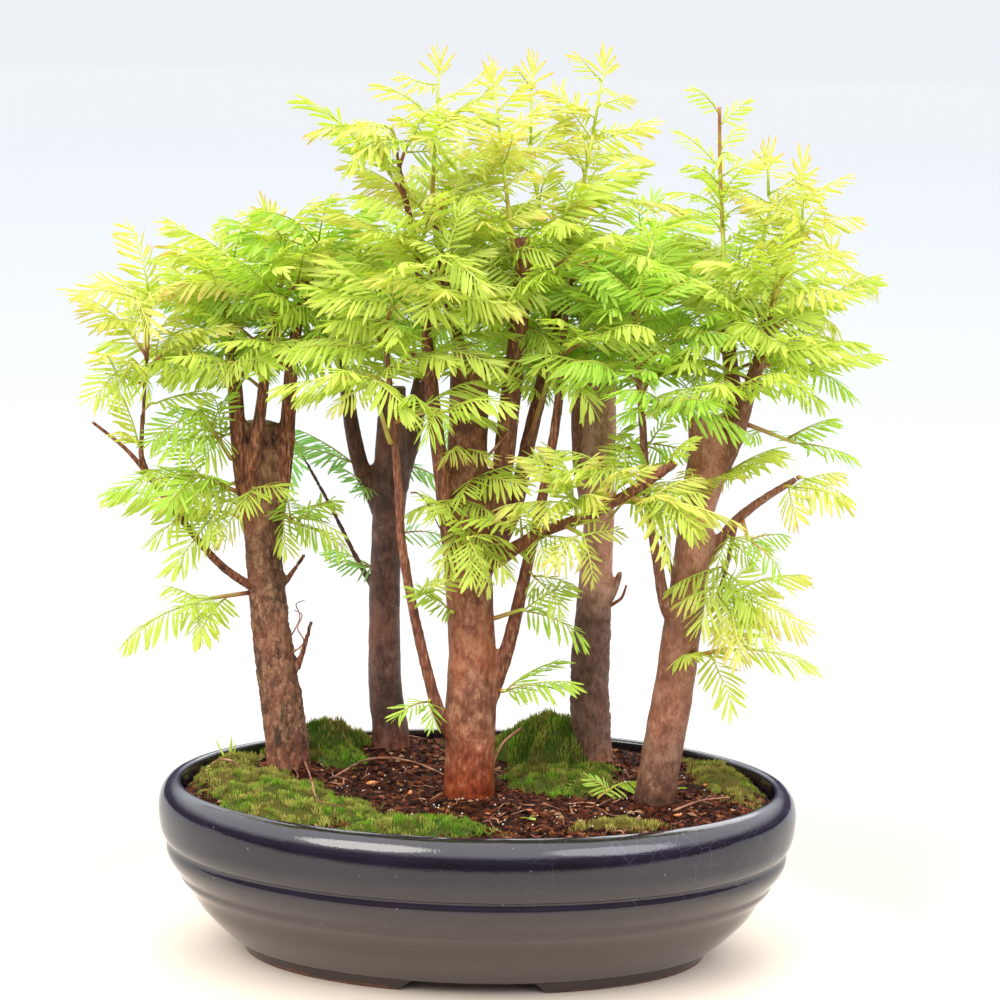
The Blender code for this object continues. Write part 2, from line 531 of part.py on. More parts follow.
def along_limb(line, share):
    """Place, direction and radius a share of the way along a limb's line."""
    points, radii = in_metres(line)
    spans = [(b - a).length for a, b in zip(points, points[1:])]
    left = share * sum(spans)
    for i, span in enumerate(spans):
        if left <= span or i == len(spans) - 1:
            part = min(1.0, left / span)
            centre = points[i].lerp(points[i + 1], part)
            direction = (points[i + 1] - points[i]).normalized()
            return centre, direction, radii[i] + (radii[i + 1] - radii[i]) * part
        left -= span


def stem_start(line, sides, share, aim):
    """First two points of a shoot, square to the face of the wood that bears it."""
    centre, direction, radius = along_limb(line, share)
    if share >= 1.0:
        return [centre + direction * CLEARANCE, centre + direction * (CLEARANCE + STEM_COLLAR)]
    out = aim - centre
    out = (out - direction * out.dot(direction)).normalized()
    side, other = ring_frame(line_direction(in_metres(line)[0]), direction)
    turn = math.atan2(out.dot(other), out.dot(side)) % (2.0 * math.pi / sides)
    face = radius * math.cos(math.pi / sides) / math.cos(turn - math.pi / sides)
    return [centre + out * (face + CLEARANCE), centre + out * (face + CLEARANCE + STEM_COLLAR)]


def frond(origin, along, up, length, arch, petiole=PETIOLE, blade=BLADE, grow=0.0):
    """Flat spray: a slim rib with leaflets cut to it, open at the ring of vertices at its foot."""
    across = along.cross(up).normalized()
    up = across.cross(along).normalized()
    pairs = max(LEAFLET_PAIRS_LEAST, round((length - petiole) / LEAFLET_PITCH))
    pitch = (length - petiole) / (pairs + FROND_TIP)
    half = RIB_HALF_WIDTH + grow
    stations = [petiole + i * pitch for i in range(pairs + 1)]
    if petiole > 0.0:
        stations.insert(0, 0.0)
    first = len(stations) - pairs - 1
    flat = [(u, half) for u in stations]
    for i in range(pairs):
        share = (i + 0.5) / pairs
        wave = math.sin(math.pi * (LEAFLET_WAVE[0] + LEAFLET_WAVE[1] * share))
        size = LEAFLET_LENGTH * (LEAFLET_LEAST + LEAFLET_SWELL * wave)
        size *= min(1.0, length / LEAFLET_FULL_FROM) ** 0.5
        reach = stations[first + i] + pitch * LEAFLET_SET + size * math.cos(LEAFLET_SLANT)
        flat.append((reach + grow, half + size * math.sin(LEAFLET_SLANT) + grow))
    per_side = len(flat)
    flat += [(u, -v) for u, v in flat]
    flat.append((length + grow, 0.0))
    verts = []
    for offset in (0.5 * blade, -0.5 * blade):
        for u, v in flat:
            rise = arch * u * (1.0 - u / length) - LEAFLET_DROP * abs(v)
            verts.append(origin + along * u + across * v + up * (offset + rise))
    size = len(flat)
    end = size - 1
    left = list(range(len(stations)))
    right = [per_side + i for i in left]
    sheet = []
    path = [right[0]]
    for i in range(len(stations) - 1):
        sheet += [(left[i], right[i], right[i + 1]), (left[i], right[i + 1], left[i + 1])]
        if i >= first:
            blade_left = len(stations) + i - first
            blade_right = per_side + blade_left
            sheet += [(left[i], left[i + 1], blade_left), (right[i], blade_right, right[i + 1])]
            path.append(blade_right)
        path.append(right[i + 1])
    sheet.append((left[-1], right[-1], end))
    path += [end, left[-1]]
    for i in reversed(range(len(stations) - 1)):
        if i >= first:
            path.append(len(stations) + i - first)
        path.append(left[i])
    faces = []
    for a, b, c in sheet:
        faces += [(c, b, a), (a + size, b + size, c + size)]
    for a, b in zip(path, path[1:]):
        faces += [(a, b, a + size), (b + size, a + size, b)]
    foot = [left[0], left[0] + size, right[0] + size, right[0]]
    return verts, faces, foot


def shoot_plan(row):
    """One shoot's stem points and radii, its end frond or None, and its side fronds."""
    name, tree, limb, share, points, sides, length, tone, seed = row
    dice = random.Random(seed)
    way = [Vector(p) * MM for p in points]
    for p in way:
        wander = STEM_WANDER if p is not way[-1] else TIP_WANDER
        p += Vector([dice.uniform(-wander, wander) for _ in range(3)])
    bearer = TREES[tree][limb]
    line = stem_start(bearer, limb_sides(limb, bearer), share, way[0]) + way
    facing = UP * FACING_UP + Vector([dice.uniform(*lean) for lean in FACING_LEAN] + [0.0])
    heading = (line[-1] - line[-2]).normalized()
    end = None
    if length > 0.0:
        length = min(length * MM, (line[-1] - line[-2]).length * END_FROND_MOST)
        line[-1] = line[-1] - heading * length
        foot = line[-1] + heading * (STEM_RADIUS * FROND_SETBACK)
        end = (foot, heading, facing, length, dice.uniform(*ARCH))
    count = len(line) - 1
    radii = [STEM_RADIUS + (STEM_TIP_RADIUS - STEM_RADIUS) * i / count for i in range(count + 1)]
    fronds = []
    for i in range(sides):
        part = SIDE_FROND_FIRST - SIDE_FROND_STEP * (i // 2) - SIDE_FROND_STAGGER * (i % 2)
        centre, direction = along_stem(line, max(SIDE_FROND_LOWEST, part))
        side = direction.cross(facing).normalized()
        if i // 2 % 2:
            side = direction.cross(side).normalized()
        side = side * (1 if i % 2 else -1)
        angle = SIDE_FROND_ANGLE + dice.uniform(-SIDE_FROND_SPREAD, SIDE_FROND_SPREAD)
        aim = direction * math.cos(angle) + side * math.sin(angle) + UP * dice.uniform(*SIDE_FROND_LIFT)
        turned = facing + Vector([dice.uniform(*lean) for lean in SIDE_FROND_LEAN] + [0.0])
        size = (length or BARE_STEM_FROND) * SIDE_FROND_SHARE * dice.uniform(*SIDE_FROND_SIZE)
        fronds.append((centre, aim.normalized(), turned, size, dice.uniform(*ARCH)))
    return line, radii, end, fronds


def along_stem(line, share):
    spans = [(b - a).length for a, b in zip(line, line[1:])]
    left = share * sum(spans)
    for i, span in enumerate(spans):
        if left <= span or i == len(spans) - 1:
            direction = (line[i + 1] - line[i]).normalized()
            return line[i] + direction * min(left, span), direction
        left -= span


def leafy_stem(line, radii, place):
    """Stem whose last ring opens into its end frond, or closes where there is none."""
    if place is None:
        return tube(line, radii, STEM_SIDES)
    verts, faces = tube(line, radii, STEM_SIDES)
    faces.pop()
    spray, sheet, foot = frond(*place, petiole=0.0)
    offset = len(verts)
    last = list(range(offset - STEM_SIDES, offset))
    foot = [offset + i for i in foot]
    verts += spray
    faces += [tuple(offset + i for i in face) for face in sheet]

    def gap(turn):
        return sum((verts[last[i]] - verts[foot[(i + turn) % STEM_SIDES]]).length for i in range(STEM_SIDES))

    turn = min(range(STEM_SIDES), key=gap)
    for i in range(STEM_SIDES):
        k = (i + 1) % STEM_SIDES
        faces.append((last[i], last[k], foot[(k + turn) % STEM_SIDES], foot[(i + turn) % STEM_SIDES]))
    return verts, faces


def plain_spray(origin, along, facing, length, arch):
    """Flat spray as one thin blade, narrow at its foot, notched twice a side, pointed at its tip."""
    across = along.cross(facing).normalized()
    up = across.cross(along).normalized()
    wide = SPRAY_HALF_WIDTH * (length / LEAFLET_FULL_FROM) ** 0.5
    rows = [(share * length, part * wide) for share, part in SPRAY_OUTLINE]
    flat = rows + [(length, 0.0)] + [(u, -v) for u, v in reversed(rows)]
    verts = []
    for offset in (0.5 * BLADE, -0.5 * BLADE):
        for u, v in flat:
            rise = arch * u * (1.0 - u / length) - LEAFLET_DROP * abs(v)
            verts.append(origin + along * u + across * v + up * (offset + rise))
    size = len(flat)
    tip = len(rows)
    sheet = [(tip - 1, tip, tip + 1)]
    for i in range(tip - 1):
        sheet += [(i, i + 1, size - 2 - i), (i, size - 2 - i, size - 1 - i)]
    faces = []
    for a, b, c in sheet:
        faces += [(a, b, c), (c + size, b + size, a + size)]
    for i in range(size):
        k = (i + 1) % size
        faces.append((k, i, i + size, k + size))
    return verts, faces


def crown_sprays(name, line):
    """Places of a shoot's plainer sprays on its stem."""
    places = []
    for share, heading, lean, length, arch in CROWN_SPRAYS.get(name, ()):
        centre = along_stem(line, share)[0]
        facing = UP + Vector((*lean, 0.0))
        places.append((centre, Vector(heading).normalized(), facing, length * MM, arch))
    return places


def build_shoot(row):
    """Leafy shoot: its stem and end frond in one, with its side fronds and sprays joined on."""
    line, radii, end, sides = shoot_plan(row)
    verts, faces = leafy_stem(line, radii, end)
    shoot = make_object(row[0], verts, faces)
    sprays = []
    for place in sides:
        verts, faces, foot = frond(*place)
        sprays.append(make_object("spray", verts, faces + [tuple(reversed(foot))]))
    for place in crown_sprays(row[0], line):
        sprays.append(make_object("spray", *plain_spray(*place)))
    combine(shoot, sprays, "UNION")
    paint(shoot, row[0], NEEDLE[row[7]], NEEDLE_ROUGHNESS)
    return shoot


def build_all():
    clear_scene()
    build_tray()
    build_soil()
    for row in MOSS:
        build_moss(*row)
    for name, limbs in TREES.items():
        build_tree(name, limbs)
    for row in SHOOTS:
        build_shoot(row)


build_all()
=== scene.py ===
import math
import random

import bpy
import numpy as np
from mathutils import Matrix, Vector, kdtree, noise


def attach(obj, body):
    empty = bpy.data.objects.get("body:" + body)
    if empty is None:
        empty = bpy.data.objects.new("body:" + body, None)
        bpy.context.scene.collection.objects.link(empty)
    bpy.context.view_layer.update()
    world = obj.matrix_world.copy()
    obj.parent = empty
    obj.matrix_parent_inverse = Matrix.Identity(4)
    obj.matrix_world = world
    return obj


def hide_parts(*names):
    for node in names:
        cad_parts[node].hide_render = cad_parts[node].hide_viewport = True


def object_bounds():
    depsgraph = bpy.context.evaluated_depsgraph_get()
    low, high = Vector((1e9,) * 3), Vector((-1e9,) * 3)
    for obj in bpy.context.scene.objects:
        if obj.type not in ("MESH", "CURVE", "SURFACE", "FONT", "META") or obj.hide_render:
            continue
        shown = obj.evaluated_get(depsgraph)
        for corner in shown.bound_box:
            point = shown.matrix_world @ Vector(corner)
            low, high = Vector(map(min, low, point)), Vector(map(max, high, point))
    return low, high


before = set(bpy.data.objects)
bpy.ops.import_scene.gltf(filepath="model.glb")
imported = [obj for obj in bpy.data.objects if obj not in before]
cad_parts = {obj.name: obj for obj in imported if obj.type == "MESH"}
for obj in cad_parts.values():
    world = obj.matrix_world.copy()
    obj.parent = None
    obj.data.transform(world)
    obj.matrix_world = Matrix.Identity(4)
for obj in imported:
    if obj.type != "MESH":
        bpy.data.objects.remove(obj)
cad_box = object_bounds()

# The view: a long lens in front of the tray, tipped down by nine degrees and rolled by just
# over one, as the photograph was taken.
VIEW_PITCH = math.radians(8.9)
VIEW_ROLL = math.radians(1.3)
VIEW_AWAY = 1.350
VIEW_ASIDE = 0.00735
VIEW_AIM = Vector((0.0, 0.0, 0.215))
LENS_MM = 104.76
SENSOR_MM = 36.0
VIEW_REACH = 200.0

lens = bpy.data.cameras.new("view_lens")
lens.sensor_width = SENSOR_MM
lens.lens = LENS_MM
lens.clip_end = VIEW_REACH
camera = bpy.data.objects.new("view_camera", lens)
bpy.context.scene.collection.objects.link(camera)
level = Vector((1.0, 0.0, 0.0))
plumb = Vector((0.0, math.sin(VIEW_PITCH), math.cos(VIEW_PITCH)))
back = Vector((0.0, -math.cos(VIEW_PITCH), math.sin(VIEW_PITCH)))
right = level * math.cos(VIEW_ROLL) + plumb * math.sin(VIEW_ROLL)
upward = plumb * math.cos(VIEW_ROLL) - level * math.sin(VIEW_ROLL)
turned = Matrix((right, upward, back)).transposed().to_4x4()
turned.translation = right * VIEW_ASIDE + VIEW_AIM + back * VIEW_AWAY
camera.matrix_world = turned
bpy.context.scene.camera = camera
bpy.context.scene.view_settings.view_transform = "Standard"

# The studio: a pale floor that turns bluish far off, a bright ceiling over a dimmer room, and
# two wide soft lights from the front, left and right.
FLOOR_SIDES = 96
FLOOR_RINGS = (0.6, 2.0, 8.0, 40.0)
# The paper's colour by distance from the tray, on a scale of doublings from 1/8 m to 32 m
# The lighter stops close to the tray are painted light that lifts the tray's shadow there
FLOOR_COLOURS_WITH_PAINTED_LIGHT = (
    (0.03, "#dccfbf"), (0.06, "#d6cdc1"), (0.11, "#b9b3ab"), (0.36, "#a8a7a6"),
    (0.48, "#a2a5a7"), (0.62, "#9c9fa3"), (0.80, "#989a9d"), (0.92, "#989a9b"),
)
FLOOR_DOUBLINGS = (-3.0, 5.0)
# Painted reflection: glossy rays alone see the floor dark in front of the tray, from the first of these to the
# second
DIM_FROM = -0.26
DIM_TO = -0.46
PAINTED_REFLECTION_DARK = "#1d1a20"
# The room from straight below to straight above: as the camera sees it, and as it lights
SKY_SEEN = ((0.0, "#eef2f7"), (0.06, "#eff2f7"), (1.0, "#e2ebf4"))
SKY_LIGHT = ((0.0, "#c9c2bd"), (0.50, "#37333f"), (0.61, "#4b4858"), (0.74, "#f1f5fb"), (1.0, "#ffffff"))
SKY_STRENGTH = 2.45
LIGHTS = (
    # name, degrees round to the right from straight in front, height in degrees, strength,
    # spread in degrees, colour
    ("key_light", -38.0, 42.0, 1.75, 34.0, "#fff9f0"),
    ("fill_light", 44.0, 36.0, 0.95, 36.0, "#f6f8ff"),
    ("rear_light", 170.0, 48.0, 0.90, 40.0, "#ffffff"),
)


def linear(code):
    """Scene colour of an sRGB hex value."""
    parts = [int(code[i:i + 2], 16) / 255.0 for i in (1, 3, 5)]
    parts = [c / 12.92 if c <= 0.04045 else ((c + 0.055) / 1.055) ** 2.4 for c in parts]
    return (*parts, 1.0)


def add(nodes, kind, inputs=(), stops=(), **settings):
    """Add one node with its settings, its inputs and a ramp's colours.

    An input is a (name, value) pair, or just a value for the next socket that is open. A value
    that is a node stands for a link from its first open output.
    """
    node = nodes.new("ShaderNode" + kind)
    for key, value in settings.items():
        setattr(node, key, value)
    for place, value in enumerate(inputs):
        if isinstance(value, tuple):
            socket, value = node.inputs[value[0]], value[1]
        else:
            socket = [socket for socket in node.inputs if socket.enabled][place]
        if isinstance(value, bpy.types.Node):
            value = next(socket for socket in value.outputs if socket.enabled)
        if isinstance(value, bpy.types.NodeSocket):
            nodes.id_data.links.new(value, socket)
        else:
            socket.default_value = linear(value) if isinstance(value, str) else value
    if stops:
        ramp = node.color_ramp.elements
        while len(ramp) < len(stops):
            ramp.new(1.0)
        for element, (place, code) in zip(ramp, stops):
            element.position = place
            element.color = linear(code)
    return node


def new_material(name):
    """An empty material, its nodes, and each place on the object in metres."""
    material = bpy.data.materials.new(name)
    material.use_nodes = True
    nodes = material.node_tree.nodes
    nodes.clear()
    return material, nodes, add(nodes, "TexCoord").outputs["Object"]


def piece(name, verts, faces, materials, kinds=None, smooth=True, numbers=()):
    """One mesh object: kinds picks each face's material, numbers are (name, value per vertex)."""
    mesh = bpy.data.meshes.new(name)
    mesh.from_pydata(verts, [], faces)
    for material in materials:
        mesh.materials.append(material)
    if kinds is not None:
        mesh.polygons.foreach_set("material_index", kinds)
    flags = smooth if isinstance(smooth, list) else [smooth] * len(faces)
    mesh.polygons.foreach_set("use_smooth", flags)
    for key, values in numbers:
        mesh.attributes.new(key, "FLOAT", "POINT").data.foreach_set("value", values)
    mesh.update()
    item = bpy.data.objects.new(name, mesh)
    bpy.context.scene.collection.objects.link(item)
    return item


def ring_faces(rings, size, caps=True):
    """Quads between rings of size vertices, capped at both ends."""
    faces = []
    for low in range(0, (rings - 1) * size, size):
        for i in range(size):
            k = (i + 1) % size
            faces.append((low + i, low + k, low + size + k, low + size + i))
    if caps:
        faces.append(tuple(reversed(range(size))))
        faces.append(tuple(range((rings - 1) * size, rings * size)))
    return faces


# Matt paper: no gloss at all, warm and lighter close to the tray as painted light, and a cool pale grey farther
# off.
floor_paper, nodes, spot = new_material("matt_studio_paper_with_painted_light")
away = add(nodes, "VectorMath", [spot], operation="LENGTH")
doubled = add(nodes, "Math", [away, 2.0], operation="LOGARITHM")
reach = add(nodes, "MapRange", [doubled, FLOOR_DOUBLINGS[0], FLOOR_DOUBLINGS[1]])
shade = add(nodes, "ValToRGB", [reach], stops=FLOOR_COLOURS_WITH_PAINTED_LIGHT)
place = add(nodes, "SeparateXYZ", [spot])
# Painted reflection: only rays that glance off the glaze see the floor dark in front of the tray
front = add(nodes, "MapRange", [place.outputs["Y"], DIM_FROM, DIM_TO], interpolation_type="SMOOTHSTEP")
ray = add(nodes, "LightPath")
painted_reflection = add(nodes, "Math", [ray.outputs["Is Glossy Ray"], front], operation="MULTIPLY")
seen = add(nodes, "Mix", [painted_reflection, shade, PAINTED_REFLECTION_DARK], data_type="RGBA")
skin = add(nodes, "BsdfDiffuse", [seen])
add(nodes, "OutputMaterial", [skin])

verts = []
for radius in FLOOR_RINGS:
    for i in range(FLOOR_SIDES):
        angle = 2.0 * math.pi * i / FLOOR_SIDES
        verts.append((radius * math.cos(angle), radius * math.sin(angle), 0.0))
faces = [tuple(range(FLOOR_SIDES))]
faces += [tuple(reversed(face)) for face in ring_faces(len(FLOOR_RINGS), FLOOR_SIDES, caps=False)]
floor = piece("floor", verts, faces, [floor_paper], smooth=False)

for name, compass, height, strength, spread, code in LIGHTS:
    lamp = bpy.data.lights.new(name, "SUN")
    lamp.energy = strength
    lamp.angle = math.radians(spread)
    lamp.color = linear(code)[:3]
    light = bpy.data.objects.new(name, lamp)
    bpy.context.scene.collection.objects.link(light)
    turn, lift = math.radians(compass), math.radians(height)
    level = math.cos(lift)
    toward = Vector((math.sin(turn) * level, -math.cos(turn) * level, math.sin(lift)))
    light.rotation_euler = toward.to_track_quat("Z", "Y").to_euler()

world = bpy.data.worlds.new("studio")
world.use_nodes = True
bpy.context.scene.world = world
nodes = world.node_tree.nodes
nodes.clear()
where = add(nodes, "TexCoord")
split = add(nodes, "SeparateXYZ", [where.outputs["Generated"]])
seen = add(nodes, "ValToRGB", [split.outputs["Z"]], stops=SKY_SEEN)
lift = add(nodes, "MapRange", [split.outputs["Z"], -1.0, 1.0])
lit = add(nodes, "ValToRGB", [lift], stops=SKY_LIGHT)
ray = add(nodes, "LightPath")
pale = add(nodes, "Background", [seen])
room = add(nodes, "Background", [lit, SKY_STRENGTH])
both = add(nodes, "MixShader", [ray.outputs["Is Camera Ray"], room, pale])
add(nodes, "OutputWorld", [both])

# The tray: an oval bowl of stoneware, thrown with two raised rings and an inrolled rim, on a
# foot ring that is cut through front and back. It is dipped in one dark glossy glaze, and the
# foot's edge is left as bare red clay.
MM = 0.001
TRAY_LONG = 150.0
TRAY_WIDE = 111.0
TRAY_SEGMENTS = 160
PROFILE_STEPS = 3
# (height, inset from the widest ring) up the outside, over the rim and down the inside
TRAY_OUTSIDE = (
    (6.5, 36.0), (8.5, 33.4), (12.0, 29.5), (17.0, 24.4), (23.0, 19.2), (30.0, 15.0), (33.0, 12.6),
    (34.5, 11.2), (36.5, 10.0), (38.5, 9.5), (41.0, 7.6), (44.0, 5.5), (47.0, 4.2), (49.5, 3.8),
    (51.5, 4.2), (52.8, 4.3), (54.0, 3.4), (56.5, 2.0), (60.0, 0.9), (64.5, 0.25), (69.0, 0.0),
    (73.0, 0.4), (76.2, 1.4), (78.8, 3.1), (80.6, 5.2), (81.5, 7.6), (81.5, 9.2), (80.6, 10.4),
    (78.0, 10.9), (70.0, 11.3), (58.0, 12.0), (42.0, 17.0), (26.0, 25.0), (17.0, 34.0), (15.0, 40.0),
)
# The flat floor: where its edge and its middle lie, and its top
TRAY_FLOOR_EDGE = 60.0
TRAY_FLOOR_INSET = 92.0
TRAY_FLOOR_TOP = 15.0
FOOT_SECTION = (
    (9.0, 36.8), (6.5, 38.0), (3.0, 39.6), (0.9, 40.5), (0.2, 41.0), (0.0, 41.8), (0.0, 50.4),
    (0.3, 51.2), (1.2, 51.6), (6.5, 51.2), (9.0, 51.0),
)
FOOT_SEGMENTS = 90
FOOT_GAP_HALF_TOP = 27.0
FOOT_GAP_HALF_BOTTOM = 34.0
FOOT_HEIGHT = 6.5
DRAIN_RADIUS = 7.0
DRAIN_OFFSET = 55.0
DRAIN_SIDES = 48
DRAIN_BORE = (0.0, 20.0)


def per_mm(size):
    """Texture scale that makes a pattern repeat about every so many millimetres."""
    return 1000.0 / size


def curve_through(rows, steps):
    """Smooth curve through rows of numbers: so many steps to each span, or steps of that size."""
    rows = np.array(rows, float)
    rows = np.vstack([2.0 * rows[0] - rows[1], rows, 2.0 * rows[-1] - rows[-2]])
    made = []
    for a, b, c, d in zip(rows, rows[1:], rows[2:], rows[3:]):
        span = float(np.linalg.norm((c - b)[:3]))
        count = steps if isinstance(steps, int) else max(1, round(span / steps))
        for k in range(count):
            t = k / count
            made.append(b + 0.5 * t * (c - a + t * (2.0 * a - 5.0 * b + 4.0 * c - d
                                                    + t * (3.0 * (b - c) + d - a))))
    made.append(rows[-2])
    return np.array(made)


def oval(height, inset, turns):
    """Points at these angles on the oval that lies so far inside the tray's widest ring."""
    long, wide = (TRAY_LONG - inset) * MM, (TRAY_WIDE - inset) * MM
    return [(long * math.cos(t), wide * math.sin(t), height * MM) for t in turns]


whole_turn = [2.0 * math.pi * i / TRAY_SEGMENTS for i in range(TRAY_SEGMENTS)]
profile = [tuple(row) for row in curve_through(TRAY_OUTSIDE, PROFILE_STEPS)]
profile = [(FOOT_HEIGHT, TRAY_FLOOR_INSET), (FOOT_HEIGHT, TRAY_FLOOR_EDGE)] + profile
profile += [(TRAY_FLOOR_TOP, TRAY_FLOOR_EDGE), (TRAY_FLOOR_TOP, TRAY_FLOOR_INSET)]
verts = [p for height, inset in profile for p in oval(height, inset, whole_turn)]
faces = ring_faces(len(profile), TRAY_SEGMENTS)

# Glazed stoneware, dipped: near black with a violet-blue cast, glossy and a little uneven, with
# fine crackle and dust, so it mirrors the room softly. The foot's edge is fired bare clay.
glaze, nodes, spot = new_material("dipped_midnight_glaze")
cloud = add(nodes, "TexNoise", [("Vector", spot), ("Scale", per_mm(26.0)), ("Detail", 4.0)])
depth = add(nodes, "ValToRGB", [cloud], stops=((0.30, "#18131b"), (0.55, "#1d1722"), (0.75, "#241d2c")))
height = add(nodes, "SeparateXYZ", [spot])
# Crackle: pale hair lines round cells 8.5 mm across, in patches on the right half
tile = add(nodes, "TexNoise", [("Vector", spot), ("Scale", per_mm(5.0)), ("Detail", 2.0)])
bent = add(nodes, "VectorMath", [tile.outputs["Color"], 1.6 * MM], operation="SCALE")
bent = add(nodes, "VectorMath", [spot, bent], operation="ADD")
crack = add(nodes, "TexVoronoi", [("Vector", bent), ("Scale", per_mm(8.5))], feature="DISTANCE_TO_EDGE")
hair = add(nodes, "MapRange", [crack, 0.004, 0.012, 1.0, 0.0])
zone = add(nodes, "TexNoise", [("Vector", spot), ("Scale", per_mm(34.0)), ("Detail", 1.0)])
zone = add(nodes, "MapRange", [zone, 0.40, 0.62, 0.0, 0.75])
aside = add(nodes, "MapRange", [height.outputs["X"], 5.0 * MM, 45.0 * MM])
zone = add(nodes, "Math", [zone, aside], operation="MULTIPLY")
hair = add(nodes, "Math", [hair, zone], operation="MULTIPLY")
crazed = add(nodes, "Mix", [hair, depth, "#55526a"], data_type="RGBA")
# Dust: one pale speck in seven of the places 4.2 mm apart
dust = add(nodes, "TexVoronoi", [("Vector", spot), ("Scale", per_mm(4.2))])
mote = add(nodes, "MapRange", [dust, 0.05, 0.11, 0.8, 0.0])
rarely = add(nodes, "SeparateColor", [dust.outputs["Color"]])
rarely = add(nodes, "Math", [rarely, 0.86], operation="GREATER_THAN")
mote = add(nodes, "Math", [mote, rarely], operation="MULTIPLY")
dusty = add(nodes, "Mix", [mote, crazed, "#8d8891"], data_type="RGBA")
# Bare clay: wiped clean below a ragged line at the foot
ragged = add(nodes, "Math", [cloud, 6.0 * MM, height.outputs["Z"]], operation="MULTIPLY_ADD")
bare = add(nodes, "MapRange", [ragged, 3.6 * MM, 4.8 * MM, 1.0, 0.0])
grit = add(nodes, "TexNoise", [("Vector", spot), ("Scale", per_mm(1.4)), ("Detail", 5.0)])
clay = add(nodes, "ValToRGB", [grit], stops=((0.30, "#4b281e"), (0.52, "#744635"), (0.75, "#946750")))
# Lighter and browner on the lower wall, up to a ragged line
thin = add(nodes, "MapRange", [ragged, 34.0 * MM, 56.0 * MM, 0.85, 0.0])
browner_low_wall = add(nodes, "Mix", [thin, dusty, "#3a2c28"], data_type="RGBA")
body = add(nodes, "Mix", [bare, browner_low_wall, clay], data_type="RGBA")
gloss = add(nodes, "MapRange", [cloud, 0.3, 0.7, 0.04, 0.09])
gloss = add(nodes, "Mix", [bare, gloss, 0.85])
swell = add(nodes, "TexNoise", [("Vector", spot), ("Scale", per_mm(16.0)), ("Detail", 1.0)])
ripple = add(nodes, "Bump", [("Strength", 0.35), ("Distance", 0.0006), ("Height", swell)])
pits = add(nodes, "Bump", [("Strength", 0.25), ("Distance", 0.0002), ("Height", grit), ("Normal", ripple)])
skin = add(nodes, "BsdfPrincipled", [("Base Color", body), ("Roughness", gloss), ("IOR", 1.68),
                                     ("Normal", pits)])
add(nodes, "OutputMaterial", [skin])

tray = piece("tray_bowl", verts, faces, [glaze])
drains = []
around = [2.0 * math.pi * i / DRAIN_SIDES for i in range(DRAIN_SIDES)]
for side in (-1.0, 1.0):
    hole = [((side * DRAIN_OFFSET + DRAIN_RADIUS * math.cos(t)) * MM, DRAIN_RADIUS * math.sin(t) * MM, z * MM)
            for z in DRAIN_BORE for t in around]
    drain = piece("drain_cutter", hole, ring_faces(2, DRAIN_SIDES), [glaze], smooth=False)
    cut = tray.modifiers.new("drain", "BOOLEAN")
    cut.object = drain
    cut.operation = "DIFFERENCE"
    drains.append(drain)
bored = bpy.data.meshes.new_from_object(tray.evaluated_get(bpy.context.evaluated_depsgraph_get()))
tray.modifiers.clear()
tray.data = bored
for drain in drains:
    bpy.data.objects.remove(drain, do_unlink=True)

# The foot ring's two halves, left and right, with slanting ends at the gaps
verts, faces = [], []
for side in (1.0, -1.0):
    start = len(verts)
    for height, inset in FOOT_SECTION:
        up = min(1.0, height / FOOT_HEIGHT)
        gap = FOOT_GAP_HALF_BOTTOM + (FOOT_GAP_HALF_TOP - FOOT_GAP_HALF_BOTTOM) * up
        reach = math.acos(gap / (TRAY_LONG - inset))
        turns = [reach * (2.0 * i / FOOT_SEGMENTS - 1.0) for i in range(FOOT_SEGMENTS + 1)]
        verts += [(side * x, side * y, z) for x, y, z in oval(height, inset, turns)]
    row = FOOT_SEGMENTS + 1
    count = len(FOOT_SECTION)
    for j in range(count):
        low, high = start + j * row, start + (j + 1) % count * row
        faces += [(low + i, high + i, high + i + 1, low + i + 1) for i in range(FOOT_SEGMENTS)]
    faces.append(tuple(start + j * row for j in reversed(range(count))))
    faces.append(tuple(start + j * row + FOOT_SEGMENTS for j in range(count)))
foot = piece("tray_foot", verts, faces, [glaze])
for item in (tray, foot):
    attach(item, "root")
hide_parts("tray")

# The soil: dark crumbly bonsai compost that fills the bowl, a little higher at the back, drawn
# up in a low collar round each trunk and sunk along the wall.
SOIL_MIDDLE = 76.5
SOIL_SLOPE = 0.028
SOIL_INSET = 12.2
# (height, inset from the tray's widest ring) down the wall and over the tray's floor
SOIL_SIDE = (
    (74.0, SOIL_INSET), (58.0, 12.4), (42.0, 17.4), (26.0, 25.4), (15.4, 40.4), (15.4, TRAY_FLOOR_INSET),
)
SOIL_CELLS = 144
WALL_STRIP = 8.0
WALL_DROP = 3.2
# (x, y, radius) of each trunk where it leaves the soil, and the collar of soil drawn up round it
TRUNK_FEET = ((-92, 28, 11), (-44, 69, 10), (-4, -12, 12.5), (55.5, 46, 10.5), (82.6, -19.4, 10))
COLLAR_RISE = 2.0
COLLAR_REACH = 7.0


def lumps(x, y, size, slice_at):
    """Smooth random height between about -1 and 1, with lumps of this size in millimetres."""
    return noise.noise(Vector((x / size, y / size, slice_at)))


def oval_share(x, y, inset):
    """How far out a place lies on the oval with this inset: 0 in the middle, 1 on the edge."""
    return math.hypot(x / (TRAY_LONG - inset), y / (TRAY_WIDE - inset))


def ground(x, y):
    """Height of the soil, in millimetres, without its crumbs."""
    inward = (1.0 - oval_share(x, y, SOIL_INSET)) * (TRAY_WIDE - SOIL_INSET)
    height = SOIL_MIDDLE + SOIL_SLOPE * y
    height -= WALL_DROP * max(0.0, 1.0 - inward / WALL_STRIP)
    height += 1.5 * lumps(x, y, 24.0, 3.1) + 0.7 * lumps(x, y, 8.0, 7.7)
    for fx, fy, radius in TRUNK_FEET:
        away = max(0.0, math.hypot(x - fx, y - fy) - radius)
        height += COLLAR_RISE * math.exp(-((away / COLLAR_REACH) ** 2))
    return height


